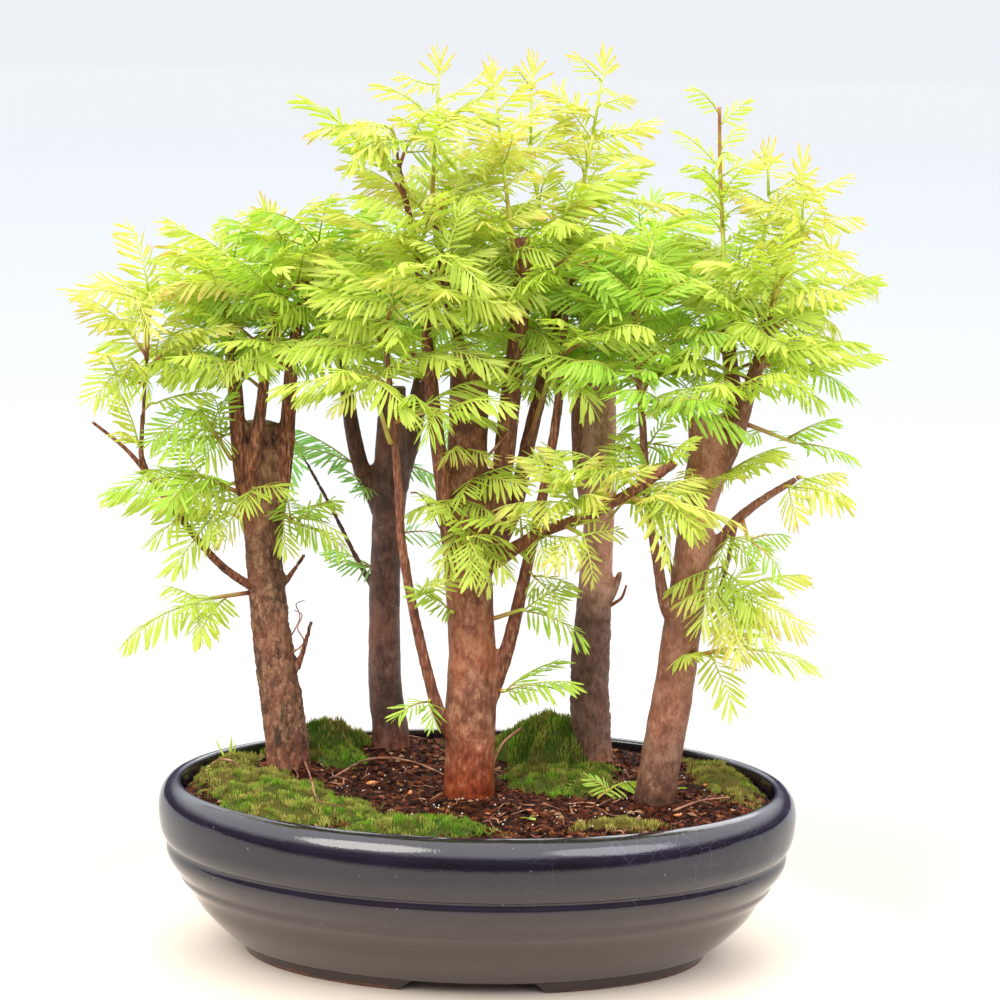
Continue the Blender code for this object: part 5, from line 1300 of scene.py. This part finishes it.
# (older, middle, newest, blush at the tips, how much of it)
TONES = {
    "gold": ("#dbe66a", "#e6ec7a", "#eeee94", "#e8ac78", 0.48),
    "lime": ("#d6e86a", "#e3ee7a", "#edf290", "#e8c680", 0.25),
    "green": ("#cae866", "#daee72", "#e7f084", "#e6da84", 0.14),
    "teal": ("#c4eaa4", "#d0eea2", "#dcf2a0", "#dfe9a6", 0.05),
}
NEEDLES = {}
for tone, (old, middle, new, blush, blushed) in TONES.items():
    NEEDLES[tone], nodes, spot = new_material("soft_new_needles_" + tone)
    age = add(nodes, "Attribute", attribute_name="young")
    drift = add(nodes, "TexNoise", [("Vector", spot), ("Scale", per_mm(30.0)), ("Detail", 2.0)])
    drift = add(nodes, "MapRange", [drift, 0.3, 0.7, -0.22, 0.22])
    age = add(nodes, "Math", [age.outputs["Fac"], drift], operation="ADD")
    leaf = add(nodes, "ValToRGB", [age], stops=((0.05, old), (0.5, middle), (0.95, new)))
    reach = add(nodes, "Attribute", attribute_name="reach")
    ends = add(nodes, "MapRange", [reach.outputs["Fac"], 0.55, 1.0])
    newest = add(nodes, "MapRange", [age, 0.45, 1.0, 0.0, blushed])
    ends = add(nodes, "Math", [ends, newest], operation="MULTIPLY")
    leaf = add(nodes, "Mix", [ends, leaf, blush], data_type="RGBA")
    wax = add(nodes, "TexNoise", [("Vector", spot), ("Scale", per_mm(1.2)), ("Detail", 2.0)])
    grain = add(nodes, "Bump", [("Strength", 0.25), ("Distance", 0.0002), ("Height", wax)])
    skin = add(nodes, "BsdfPrincipled", [("Base Color", leaf), ("Roughness", 0.5), ("IOR", 1.45),
                                         ("Normal", grain)])
    through = add(nodes, "BsdfTranslucent", [leaf])
    both = add(nodes, "MixShader", [LIT_THROUGH, skin, through])
    add(nodes, "OutputMaterial", [both])

# Young stem: smooth and fleshy, red-brown where it leaves the wood, orange-pink and then
# yellow-green toward the tip.
green_stem, nodes, spot = new_material("fleshy_young_stem")
age = add(nodes, "Attribute", attribute_name="young")
streak = add(nodes, "TexNoise", [("Vector", spot), ("Scale", per_mm(9.0)), ("Detail", 3.0)])
drift = add(nodes, "MapRange", [streak, 0.3, 0.7, -0.16, 0.16])
age = add(nodes, "Math", [age.outputs["Fac"], drift], operation="ADD")
shade = add(nodes, "ValToRGB", [age],
            stops=((0.0, "#7b4632"), (0.22, "#a8693f"), (0.45, "#b7a047"), (0.7, "#b9cc4c"), (1.0, "#dcd974")))
bump = add(nodes, "Bump", [("Strength", 0.3), ("Distance", 0.0003), ("Height", streak)])
skin = add(nodes, "BsdfPrincipled", [("Base Color", shade), ("Roughness", 0.48), ("Normal", bump)])
add(nodes, "OutputMaterial", [skin])

# Beside the sprays of its plan, a shoot bears one short spray for so much of its stem
SPRAY_EVERY = 0.00986
FILL_FROM = 0.26
FILL_SPAN = 0.72
YOUTH = {"gold": 0.85, "lime": 0.6, "green": 0.45, "teal": 0.3}
# How far a stem has turned from red-brown to green at its foot and its tip: the yellowest shoots
# are greener, and the bare stick is woody to its top
STEM_YOUTH = {"gold": (0.3, 0.8), "stick": (0.78, 0.14)}
# The short sprays of the stick and of the shoots that the photograph shows sparse
SPARSE = {"stick": 12, "left_low": 3, "middle_fan_left": 0, "trunk_side_left": 0, "trunk_side_right": 0,
          "trunk_low_right": 0, "right_hang": 0, "rear_left_low": 0, "rear_left_inner": 0, "right_end": 0,
          "near_up": 5, "near_right": 4, "left_mid": 3, "left_arch": 5}
# The stick's leaves are still small, stand close and leave its top bare
STICK_LEAF = 0.52
STICK_CLOSE = 0.7
STICK_SPAN = 0.52
for row in SHOOTS:
    name, tone = row[0], row[7]
    stick = name == "stick"
    line, sprays = shoot_plan(row)
    dice = random.Random(row[8] + 500)
    leafage = Leafage()
    young = STEM_YOUTH.get("stick" if stick else tone, (0.12, 0.8))
    leafage.stem(line, 0.004, STEM_RADIUS, STEM_THINNING, STEM_SIDES, young)
    for i, (origin, along, tilt, length, arch, petiole) in enumerate(sprays):
        if stick:
            length *= STICK_LEAF
            along = (along + UP * STICK_CLOSE).normalized()
        if name in LEADERS and i == 0:
            leafage.leader(origin, along, length * LEADERS[name], YOUTH[tone], dice)
        else:
            leafage.spray(origin, along, tilt, length, arch, petiole, YOUTH[tone], dice)
    total = sum((b - a).length for a, b in zip(line, line[1:]))
    extra = SPARSE.get(name, int(total / SPRAY_EVERY))
    for i in range(extra):
        share = FILL_FROM + (STICK_SPAN if stick else FILL_SPAN) * (i + 0.5) / extra
        centre, direction, _, _ = along_line(line, share)
        side = direction.orthogonal().normalized()
        side = Matrix.Rotation(GOLDEN_TURN * i + row[8], 3, direction) @ side
        angle = math.radians(dice.uniform(48.0, 72.0))
        aim = direction * math.cos(angle) + side * math.sin(angle) + UP * dice.uniform(-0.15, 0.15)
        aim.normalize()
        length = (34.0 - 16.0 * share) * MM * dice.uniform(0.8, 1.15)
        tilt = tipped(dice, 0.4, 0.6, 0.3)
        if abs(aim.dot(tilt.normalized())) > 0.93:
            tilt = direction.cross(side)
        leafage.spray(centre, aim, tilt, length, dice.uniform(0.1, 0.5), PETIOLE, YOUTH[tone], dice)
    item = leafage.build("shoot_" + name, tone)
    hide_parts(name)

# The crown: more shoots of the same kind all the way round the upper limbs, shorter toward the
# top of each, which fill the crown as the photograph shows it.
# (tree, limb, from share, to share, shoots, length below and above, rise below and above in
# degrees, tone, seed)
CROWN = (
    ("left", "rise_left", 0.62, 1.0, 8, 30, 22, 12, 55, "lime", 1),
    ("left", "rise_front", 0.60, 1.0, 8, 30, 22, 8, 50, "lime", 2),
    ("left", "rise_right", 0.58, 1.0, 7, 30, 22, 10, 55, "green", 3),
    ("left", "low_limb", 0.86, 1.0, 3, 24, 18, 20, 50, "gold", 4),
    ("rear_left", "rise_left", 0.60, 1.0, 7, 28, 22, 12, 50, "green", 5),
    ("rear_left", "rise_right", 0.58, 1.0, 8, 28, 22, 12, 50, "green", 6),
    ("middle", "stub_right", 0.62, 0.96, 6, 32, 24, 15, 60, "lime", 7),
    ("middle", "rise_right", 0.58, 1.0, 6, 32, 24, 12, 55, "lime", 8),
    ("middle", "low_right", 0.74, 1.0, 5, 28, 22, 10, 40, "lime", 9),
    ("middle", "rise_left", 0.48, 1.0, 7, 34, 22, 8, 50, "lime", 10),
    ("middle", "leader", 0.30, 1.0, 7, 32, 22, 15, 55, "gold", 11),
    ("middle", "low_left", 0.76, 1.0, 6, 30, 24, 10, 45, "lime", 12),
    ("middle", "near_limb", 0.55, 0.98, 2, 20, 18, -10, 30, "lime", 13),
    ("rear_right", "rise_left", 0.55, 1.0, 8, 30, 24, 12, 50, "green", 14),
    ("rear_right", "rise_right", 0.45, 1.0, 8, 30, 24, 12, 50, "green", 15),
    ("right", "rise_mid", 0.60, 1.0, 8, 32, 22, 10, 55, "lime", 16),
    ("right", "rise_right", 0.45, 1.0, 9, 32, 24, 6, 55, "lime", 17),
    ("right", "rise_left", 0.66, 1.0, 7, 28, 22, 10, 45, "green", 18),
)
CROWN_STEM_RADIUS = 0.00095
CROWN_STEM_THINNING = 0.4
SPRAYS_PER_SHOOT = 4
TIP_PETIOLE = 0.001
# A spray whose tip would pass the solids' box by more than this is left out
EDGE = 0.006


def inside_box(p):
    return all(low - EDGE < value < high + EDGE for low, value, high in zip(cad_box[0], p, cad_box[1]))


for tree, limb, start, end, shoots, below, above, rise_low, rise_high, tone, seed in CROWN:
    dice = random.Random(seed)
    points = limb_line(tree, limb)
    leafage = Leafage()
    for i in range(shoots):
        part = (i + 0.5) / shoots
        share = start + (end - start) * part
        centre = along_line(points, share)[0]
        compass = GOLDEN_TURN * i + seed + dice.uniform(-0.4, 0.4)
        lift = math.radians(rise_low + (rise_high - rise_low) * part + dice.uniform(-10.0, 10.0))
        out = Vector((math.cos(compass), math.sin(compass), 0.0))
        length = (below + (above - below) * part) * dice.uniform(0.8, 1.2) * MM
        heading = out * math.cos(lift) + UP * math.sin(lift)
        droop = UP * (length * dice.uniform(0.05, 0.2))
        stem = [centre, centre + heading * (length * 0.5) + droop * 0.6, centre + heading * length]
        if not inside_box(stem[-1] + heading * 0.02):
            continue
        leafage.stem(stem, 3, CROWN_STEM_RADIUS, CROWN_STEM_THINNING, 5, (0.1, 0.7))
        youth = YOUTH[tone] * (0.7 + 0.5 * part)
        tip, onward, _, _ = along_line(stem, 1.0)
        tilt = tipped(dice, 0.4, 0.7, 0.2)
        size = dice.uniform(0.028, 0.040)
        if inside_box(tip + onward * size):
            leafage.spray(tip, onward, tilt, size, dice.uniform(0.1, 0.5), TIP_PETIOLE, youth, dice)
        for k in range(SPRAYS_PER_SHOOT):
            centre, direction, _, _ = along_line(stem, 0.35 + 0.58 * (k + 0.5) / SPRAYS_PER_SHOOT)
            side = direction.cross(UP).normalized() * (1 if k % 2 else -1)
            side = (side + UP * dice.uniform(-0.5, 0.5)).normalized()
            angle = math.radians(dice.uniform(45.0, 70.0))
            aim = (direction * math.cos(angle) + side * math.sin(angle)).normalized()
            size = dice.uniform(0.024, 0.038)
            tilt = tipped(dice, 0.5, 0.7, 0.3)
            if inside_box(centre + aim * size):
                leafage.spray(centre, aim, tilt, size, dice.uniform(0.1, 0.5), PETIOLE, youth, dice)
    leafage.build("crown_" + tree + "_" + limb, tone)

# Below the crown: short leafy shoots on the limbs and trunks, in front of the wood and behind it.
# By tree, limb and tone: (share of the way along it, place of the tip, spray length, side sprays)
LOW_SPRAYS = {
    ("left", "rise_left", "lime"): [
        (0.42, (-149, 8, 242), 44, 2), (0.22, (-156, 4, 225), 46, 1), (0.08, (-171, 10, 213), 46, 1)],
    ("left", "rise_front", "gold"): [(0.10, (-143, -8, 213), 36, 2)],
    ("left", "rise_front", "lime"): [(0.20, (-110, -12, 212), 26, 1)],
    ("left", "trunk", "lime"): [(0.86, (-155, 2, 192), 30, 1)],
    ("left", "rise_right", "lime"): [(0.05, (-69, 8, 198), 40, 2)],
    ("left", "low_limb", "gold"): [(0.62, (-171, 6, 261), 30, 1)],
    ("left", "low_limb", "lime"): [(0.80, (-130, 4, 261), 28, 0)],
    ("rear_left", "rise_left", "teal"): [(0.15, (-92, 86, 234), 34, 1), (0.05, (-68, 60, 219), 30, 1)],
    ("rear_left", "trunk", "teal"): [
        (0.52, (-74, 84, 175), 30, 1), (0.80, (-23, 88, 211), 34, 1), (0.62, (-22, 84, 184), 28, 0)],
    ("middle", "low_left", "lime"): [(0.36, (-19, -48, 186), 30, 1)],
    ("middle", "low_left", "green"): [(0.12, (-37, -40, 121), 22, 1)],
    ("middle", "trunk", "lime"): [
        (0.70, (-21, -46, 215), 32, 2), (0.74, (16, -48, 230), 34, 2), (0.60, (10, -46, 191), 34, 2),
        (0.66, (-17, -44, 194), 30, 1)],
    ("middle", "trunk", "gold"): [(0.80, (-16, -42, 242), 30, 1)],
    ("middle", "near_limb", "lime"): [
        (0.25, (16, -66, 223), 32, 2), (0.35, (28, -68, 200), 30, 1), (0.55, (33, -80, 242), 34, 2),
        (0.85, (92, -88, 218), 30, 1), (0.95, (89, -78, 256), 28, 1)],
    ("middle", "near_limb", "gold"): [(0.72, (61, -86, 243), 30, 1)],
    ("middle", "low_right", "lime"): [(0.34, (36, -40, 172), 26, 1)],
    ("right", "trunk", "gold"): [(0.80, (92, -52, 239), 34, 2)],
    ("right", "rise_left", "green"): [(0.30, (69, -50, 247), 32, 1)],
    ("right", "rise_mid", "lime"): [(0.15, (130, -40, 245), 30, 2)],
    ("right", "right_limb", "lime"): [(0.30, (121, -44, 197), 36, 2)],
    ("right", "right_limb", "gold"): [(0.85, (161, -52, 227), 28, 2)],
    ("right", "hanging_twig", "lime"): [(0.55, (98, -56, 169), 32, 2)],
    ("right", "hanging_twig", "gold"): [(0.80, (116, -62, 157), 36, 2), (0.95, (143, -56, 170), 38, 2)],
    ("right", "trunk", "lime"): [(0.42, (94, -50, 154), 26, 1)],
    ("rear_right", "trunk", "green"): [(0.72, (65, 22, 246), 34, 1), (0.62, (80, 20, 230), 30, 1)],
}
LOW_STEM_RADIUS = 0.0009
LOW_STEM_THINNING = 0.35
for (tree, limb, tone), rows in LOW_SPRAYS.items():
    leafage = Leafage()
    for share, tip, length, sides in rows:
        dice = random.Random(sum(tip))
        foot = along_line(limb_line(tree, limb), share)[0]
        way = Vector(tip) * MM - foot
        length = min(length * MM, way.length * 0.78)
        neck = foot + way * (1.0 - length / way.length) + UP * (way.length * 0.05)
        stem = [foot, (foot + neck) * 0.5 + UP * (way.length * 0.04), neck]
        leafage.stem(stem, 3, LOW_STEM_RADIUS, LOW_STEM_THINNING, 5, (0.12, 0.7))
        heading = (Vector(tip) * MM - neck).normalized()
        tilt = tipped(dice, 0.4, 0.8, -0.1)
        leafage.spray(neck, heading, tilt, length, dice.uniform(0.1, 0.4), TIP_PETIOLE, YOUTH[tone], dice)
        for k in range(sides):
            centre, direction, _, _ = along_line(stem, 0.92 - 0.22 * k)
            side = direction.cross(tilt).normalized() * (1 if k % 2 else -1)
            angle = math.radians(dice.uniform(40.0, 62.0))
            aim = direction * math.cos(angle) + side * math.sin(angle) + UP * dice.uniform(-0.2, 0.2)
            leafage.spray(centre, aim.normalized(), tilt + side * 0.3, length * dice.uniform(0.7, 0.9),
                          dice.uniform(0.1, 0.4), PETIOLE, YOUTH[tone], dice)
    leafage.build("low_sprays_" + tree + "_" + limb + "_" + tone, tone)

# Rootlets: thin pinkish-brown surface roots that arch over the soil. The six long ones lie as in
# the photograph, and short dry ends are strewn between them.
# (points as x, y and height above the soil, thickness)
ROOTLETS = [
    ([(-129, 30, 2.0), (-124, 26, 4.5), (-117, 20, 5.0), (-111, 13, 1.5)], 0.75),
    ([(-84, 28, 1.5), (-80, 0, 7.0), (-77, -22, 8.5), (-72, -46, 6.0), (-60, -45, 3.0)], 0.60),
    ([(-69, 12, 0.6), (-53, 39, 1.6), (-33, 41, 1.2), (-14, 22, 0.4)], 0.70),
    ([(-57, 79, 1.2), (-40, 90, 2.4), (-27, 84, 1.0)], 0.70),
    ([(20, 44, 18.0), (12, 36, 13.0), (8, 30, 6.0), (7, 26, 1.0)], 0.70),
    ([(90, -36, 0.6), (104, -20, 3.0), (118, -8, 1.4)], 0.70),
]
ROOTLET_COUNT = 84
ROOTLET_START_INSET = 20.0
ROOTLET_END_INSET = 16.0
STRAND_SIDES = 6


def strand(verts, faces, points, radius, thinning):
    """Append one thin root or twig through these points, in millimetres."""
    way = [Vector(row) * MM for row in curve_through(points, 4)]
    last = len(way) - 1
    radii = [radius * (1.0 - thinning * k / last) * MM for k in range(last + 1)]
    join(verts, faces, *tube(way, radii, STRAND_SIDES))


def dry_skin(name, grain, detail, stops, depth, rough):
    """Something dry and matt on the soil: its colours vary, and its grain shows as low relief."""
    material, nodes, spot = new_material(name)
    streak = add(nodes, "TexNoise", [("Vector", spot), ("Scale", per_mm(grain)), ("Detail", detail)])
    shade = add(nodes, "ValToRGB", [streak], stops=stops)
    strength, distance = depth
    bump = add(nodes, "Bump", [("Strength", strength), ("Distance", distance), ("Height", streak)])
    skin = add(nodes, "BsdfPrincipled", [("Base Color", shade), ("Roughness", rough), ("Normal", bump)])
    add(nodes, "OutputMaterial", [skin])
    return material


dice = random.Random(77)
while len(ROOTLETS) < ROOTLET_COUNT:
    x, y = square_to_oval(dice.uniform(-0.9, 0.9), dice.uniform(-0.9, 0.9), ROOTLET_START_INSET)
    turn = dice.uniform(0.0, 2.0 * math.pi)
    points = [(x, y, dice.uniform(-0.2, 0.8))]
    for _ in range(3):
        turn += dice.uniform(-0.9, 0.9)
        reach = dice.uniform(2.0, 6.5)
        x, y = x + reach * math.cos(turn), y + reach * math.sin(turn)
        points.append((x, y, dice.uniform(-0.3, 1.8)))
    if oval_share(x, y, ROOTLET_END_INSET) < 1.0:
        ROOTLETS.append((points, dice.uniform(0.18, 0.48)))
root_skin = dry_skin("dry_rootlet_skin", 6.0, 4.0, ((0.35, "#5d3424"), (0.50, "#8f5a42"), (0.66, "#b88a6a")),
                     (0.5, 0.0003), 0.75)
verts, faces = [], []
for points, radius in ROOTLETS:
    strand(verts, faces, [(x, y, ground(x, y) + lift + 0.8) for x, y, lift in points], radius, 0.55)
roots = piece("rootlets", verts, faces, [root_skin])

# Dead twigs and shreds of bark: thin dry ends that curl off the trunks, and broken tan sticks
# caught among the limbs.
# By tree: (points in millimetres, thickness)
DEAD_TWIGS = {
    "left": [
        ([(-91, 21, 135), (-84, 18, 142), (-87, 16, 149), (-85, 18, 155), (-89, 20, 157)], 0.42),
        ([(-92, 20, 141), (-86, 16, 154), (-88, 18, 160), (-84, 20, 162)], 0.36),
        ([(-92, 19, 134), (-87, 17, 139), (-83, 19, 137)], 0.40),
        ([(-93, 20, 243), (-91, 8, 226), (-93, 10, 209)], 0.30),
    ],
    "middle": [
        ([(2, -15, 236), (1, -22, 238), (7, -26, 246), (15, -30, 256)], 0.85),
        ([(-15, -18, 230), (-18, -22, 232), (-10, -27, 236), (-1, -24, 233)], 0.55),
        ([(-33, -28, 222), (-30, -24, 221), (-25, -26, 216), (-20, -22, 205)], 0.50),
        ([(15, -17, 314), (19, -16, 318), (32, -30, 328), (49, -40, 339)], 0.80),
        ([(-30, -20, 272), (-28, -26, 274), (-21, -34, 282), (-4, -44, 288)], 0.70),
    ],
    "rear_right": [([(60, 44, 157), (64, 42, 160), (67, 40, 163), (69, 40, 169)], 1.05)],
}
for tree, lines in DEAD_TWIGS.items():
    verts, faces = [], []
    for points, radius in lines:
        strand(verts, faces, points, radius, 0.5)
    twigs = piece("dead_twigs_" + tree, verts, faces, [root_skin])
    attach(twigs, "root")

# Bud scales: dry, papery and orange, shed from the buds as they open. They lie scattered on the
# soil, and each is curled like a boat.
# (x, y, turn, length)
BUD_SCALES = (
    (-50, 5, 0.5, 6.5), (-31.5, -10.5, 1.5, 6.5), (-18, -52, 0.9, 3.5), (24, -38, 0.2, 3.6),
    (-58, -26, 2.2, 3.2), (92, -40, 0.4, 4.4), (60, -30, 1.2, 2.8), (108, 12, 0.8, 4.0),
    (5, -44, 2.6, 2.6), (-30, 32, 0.1, 3.0),
)
BUD_SCALE_WIDTHS = (0.1, 0.7, 1.0, 1.0, 0.9, 0.6, 0.1)
bud_skin = dry_skin("dry_papery_bud_scale", 1.5, 3.0, ((0.35, "#a8501f"), (0.5, "#cf7a3c"), (0.66, "#e2a566")),
                    (0.4, 0.0003), 0.6)
verts, faces = [], []
for x, y, turn, long in BUD_SCALES:
    line = []
    for k in range(len(BUD_SCALE_WIDTHS)):
        along = (k / 6.0 - 0.5) * long
        px, py = x + along * math.cos(turn), y + along * math.sin(turn)
        line.append(Vector((px, py, ground(px, py) + 1.5 + 0.12 * along * along / long)) * MM)
    join(verts, faces, *tube(line, [width * 0.16 * long * MM for width in BUD_SCALE_WIDTHS], 8))
scales = piece("bud_scales", verts, faces, [bud_skin])

# White grit: rounded grains of pumice, half a millimetre across. They lie on the soil in loose
# groups, most of them in front of the trunks and at the right.
# (x, y, reach) of each group
GRIT_GROUPS = ((70, -34, 26), (40, -42, 30), (-10, -40, 24), (90, 8, 30), (-50, 10, 34), (0, 20, 60))
GRIT_COUNT = 110
GRIT_INSET = 18.0
GRAIN = (
    (1, 0, 0), (0, 1, 0), (-1, 0, 0), (0, -1, 0), (0.7, 0.7, 0.7), (-0.7, 0.7, 0.7), (-0.7, -0.7, 0.7),
    (0.7, -0.7, 0.7), (0, 0, 1.1), (0, 0, -1),
)
GRAIN_FACES = (
    (0, 1, 4), (1, 2, 5), (2, 3, 6), (3, 0, 7), (4, 1, 5), (5, 2, 6), (6, 3, 7), (7, 0, 4), (4, 5, 8), (5, 6, 8),
    (6, 7, 8), (7, 4, 8), (1, 0, 9), (2, 1, 9), (3, 2, 9), (0, 3, 9),
)
pumice = dry_skin("white_pumice_grit", 0.5, 3.0, ((0.3, "#b9ab98"), (0.7, "#efe8dc")), (0.4, 0.0002), 0.8)
verts, faces = [], []
for _ in range(GRIT_COUNT):
    cx, cy, reach = dice.choice(GRIT_GROUPS)
    x, y = cx + dice.uniform(-1, 1) * reach, cy + dice.uniform(-0.7, 0.7) * reach
    if oval_share(x, y, GRIT_INSET) > 1.0:
        continue
    size = dice.uniform(0.25, 0.55)
    centre = Vector((x, y, ground(x, y) + 1.2))
    join(verts, faces, [(centre + Vector(corner) * size) * MM for corner in GRAIN], GRAIN_FACES)
specks = piece("white_grit", verts, faces, [pumice])
for item in (roots, scales, specks):
    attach(item, "root")

# Seedlings and grass: a frond beside the right trunk's foot with a smaller one behind it, first
# leaves here and there, and a tuft of grass at the left. All are as soft and thin as the needles.
# (x, y, heading, upper face, length, arch, bare stalk)
FRONDS = (
    (56, -13, (0.80, 0.56, 0.24), (-0.1, -0.5, 1.0), 0.023, 0.5, 0.004),
    (64, -6, (-0.75, 0.2, 0.5), (0.1, -0.6, 1.0), 0.013, 0.3, 0.003),
)
FIRST_LEAVES = ((41, 7), (47, 9), (53, 8), (94, 2), (24, -50), (-128, 22))
GRASS_AT = (-121, 40)
dice = random.Random(5)
leafage = Leafage()
frond_level = ground(57, -12) + 1.0
for x, y, heading, facing, length, arch, stalk in FRONDS:
    leafage.spray(Vector((x, y, frond_level)) * MM, Vector(heading).normalized(), Vector(facing), length, arch,
                  stalk, 0.35, dice)
for x, y in FIRST_LEAVES:
    foot = Vector((x, y, ground(x, y) + 2.4)) * MM
    for k in range(3):
        out = Vector((math.cos(2.1 * k + x), math.sin(2.1 * k + x), 0.25)).normalized()
        leafage.needle(foot, out, UP.cross(out), UP, 0.2, 4.5 * MM, 2.6 * MM, 0.0, 0.2, 0.4, dice)
for k in range(6):
    lean = Vector((dice.uniform(-0.6, 0.6), dice.uniform(-0.6, 0.3), 1.0)).normalized()
    foot = Vector((GRASS_AT[0] + dice.uniform(-2, 2), GRASS_AT[1] + dice.uniform(-2, 2),
                   ground(*GRASS_AT))) * MM
    leafage.needle(foot, lean, lean.orthogonal().normalized(), Vector((0.0, -1.0, 0.0)), 0.1,
                   dice.uniform(0.009, 0.014), 0.9 * MM, 0.0, 0.3, 0.5, dice)
leafage.build("seedlings_and_grass", "green")
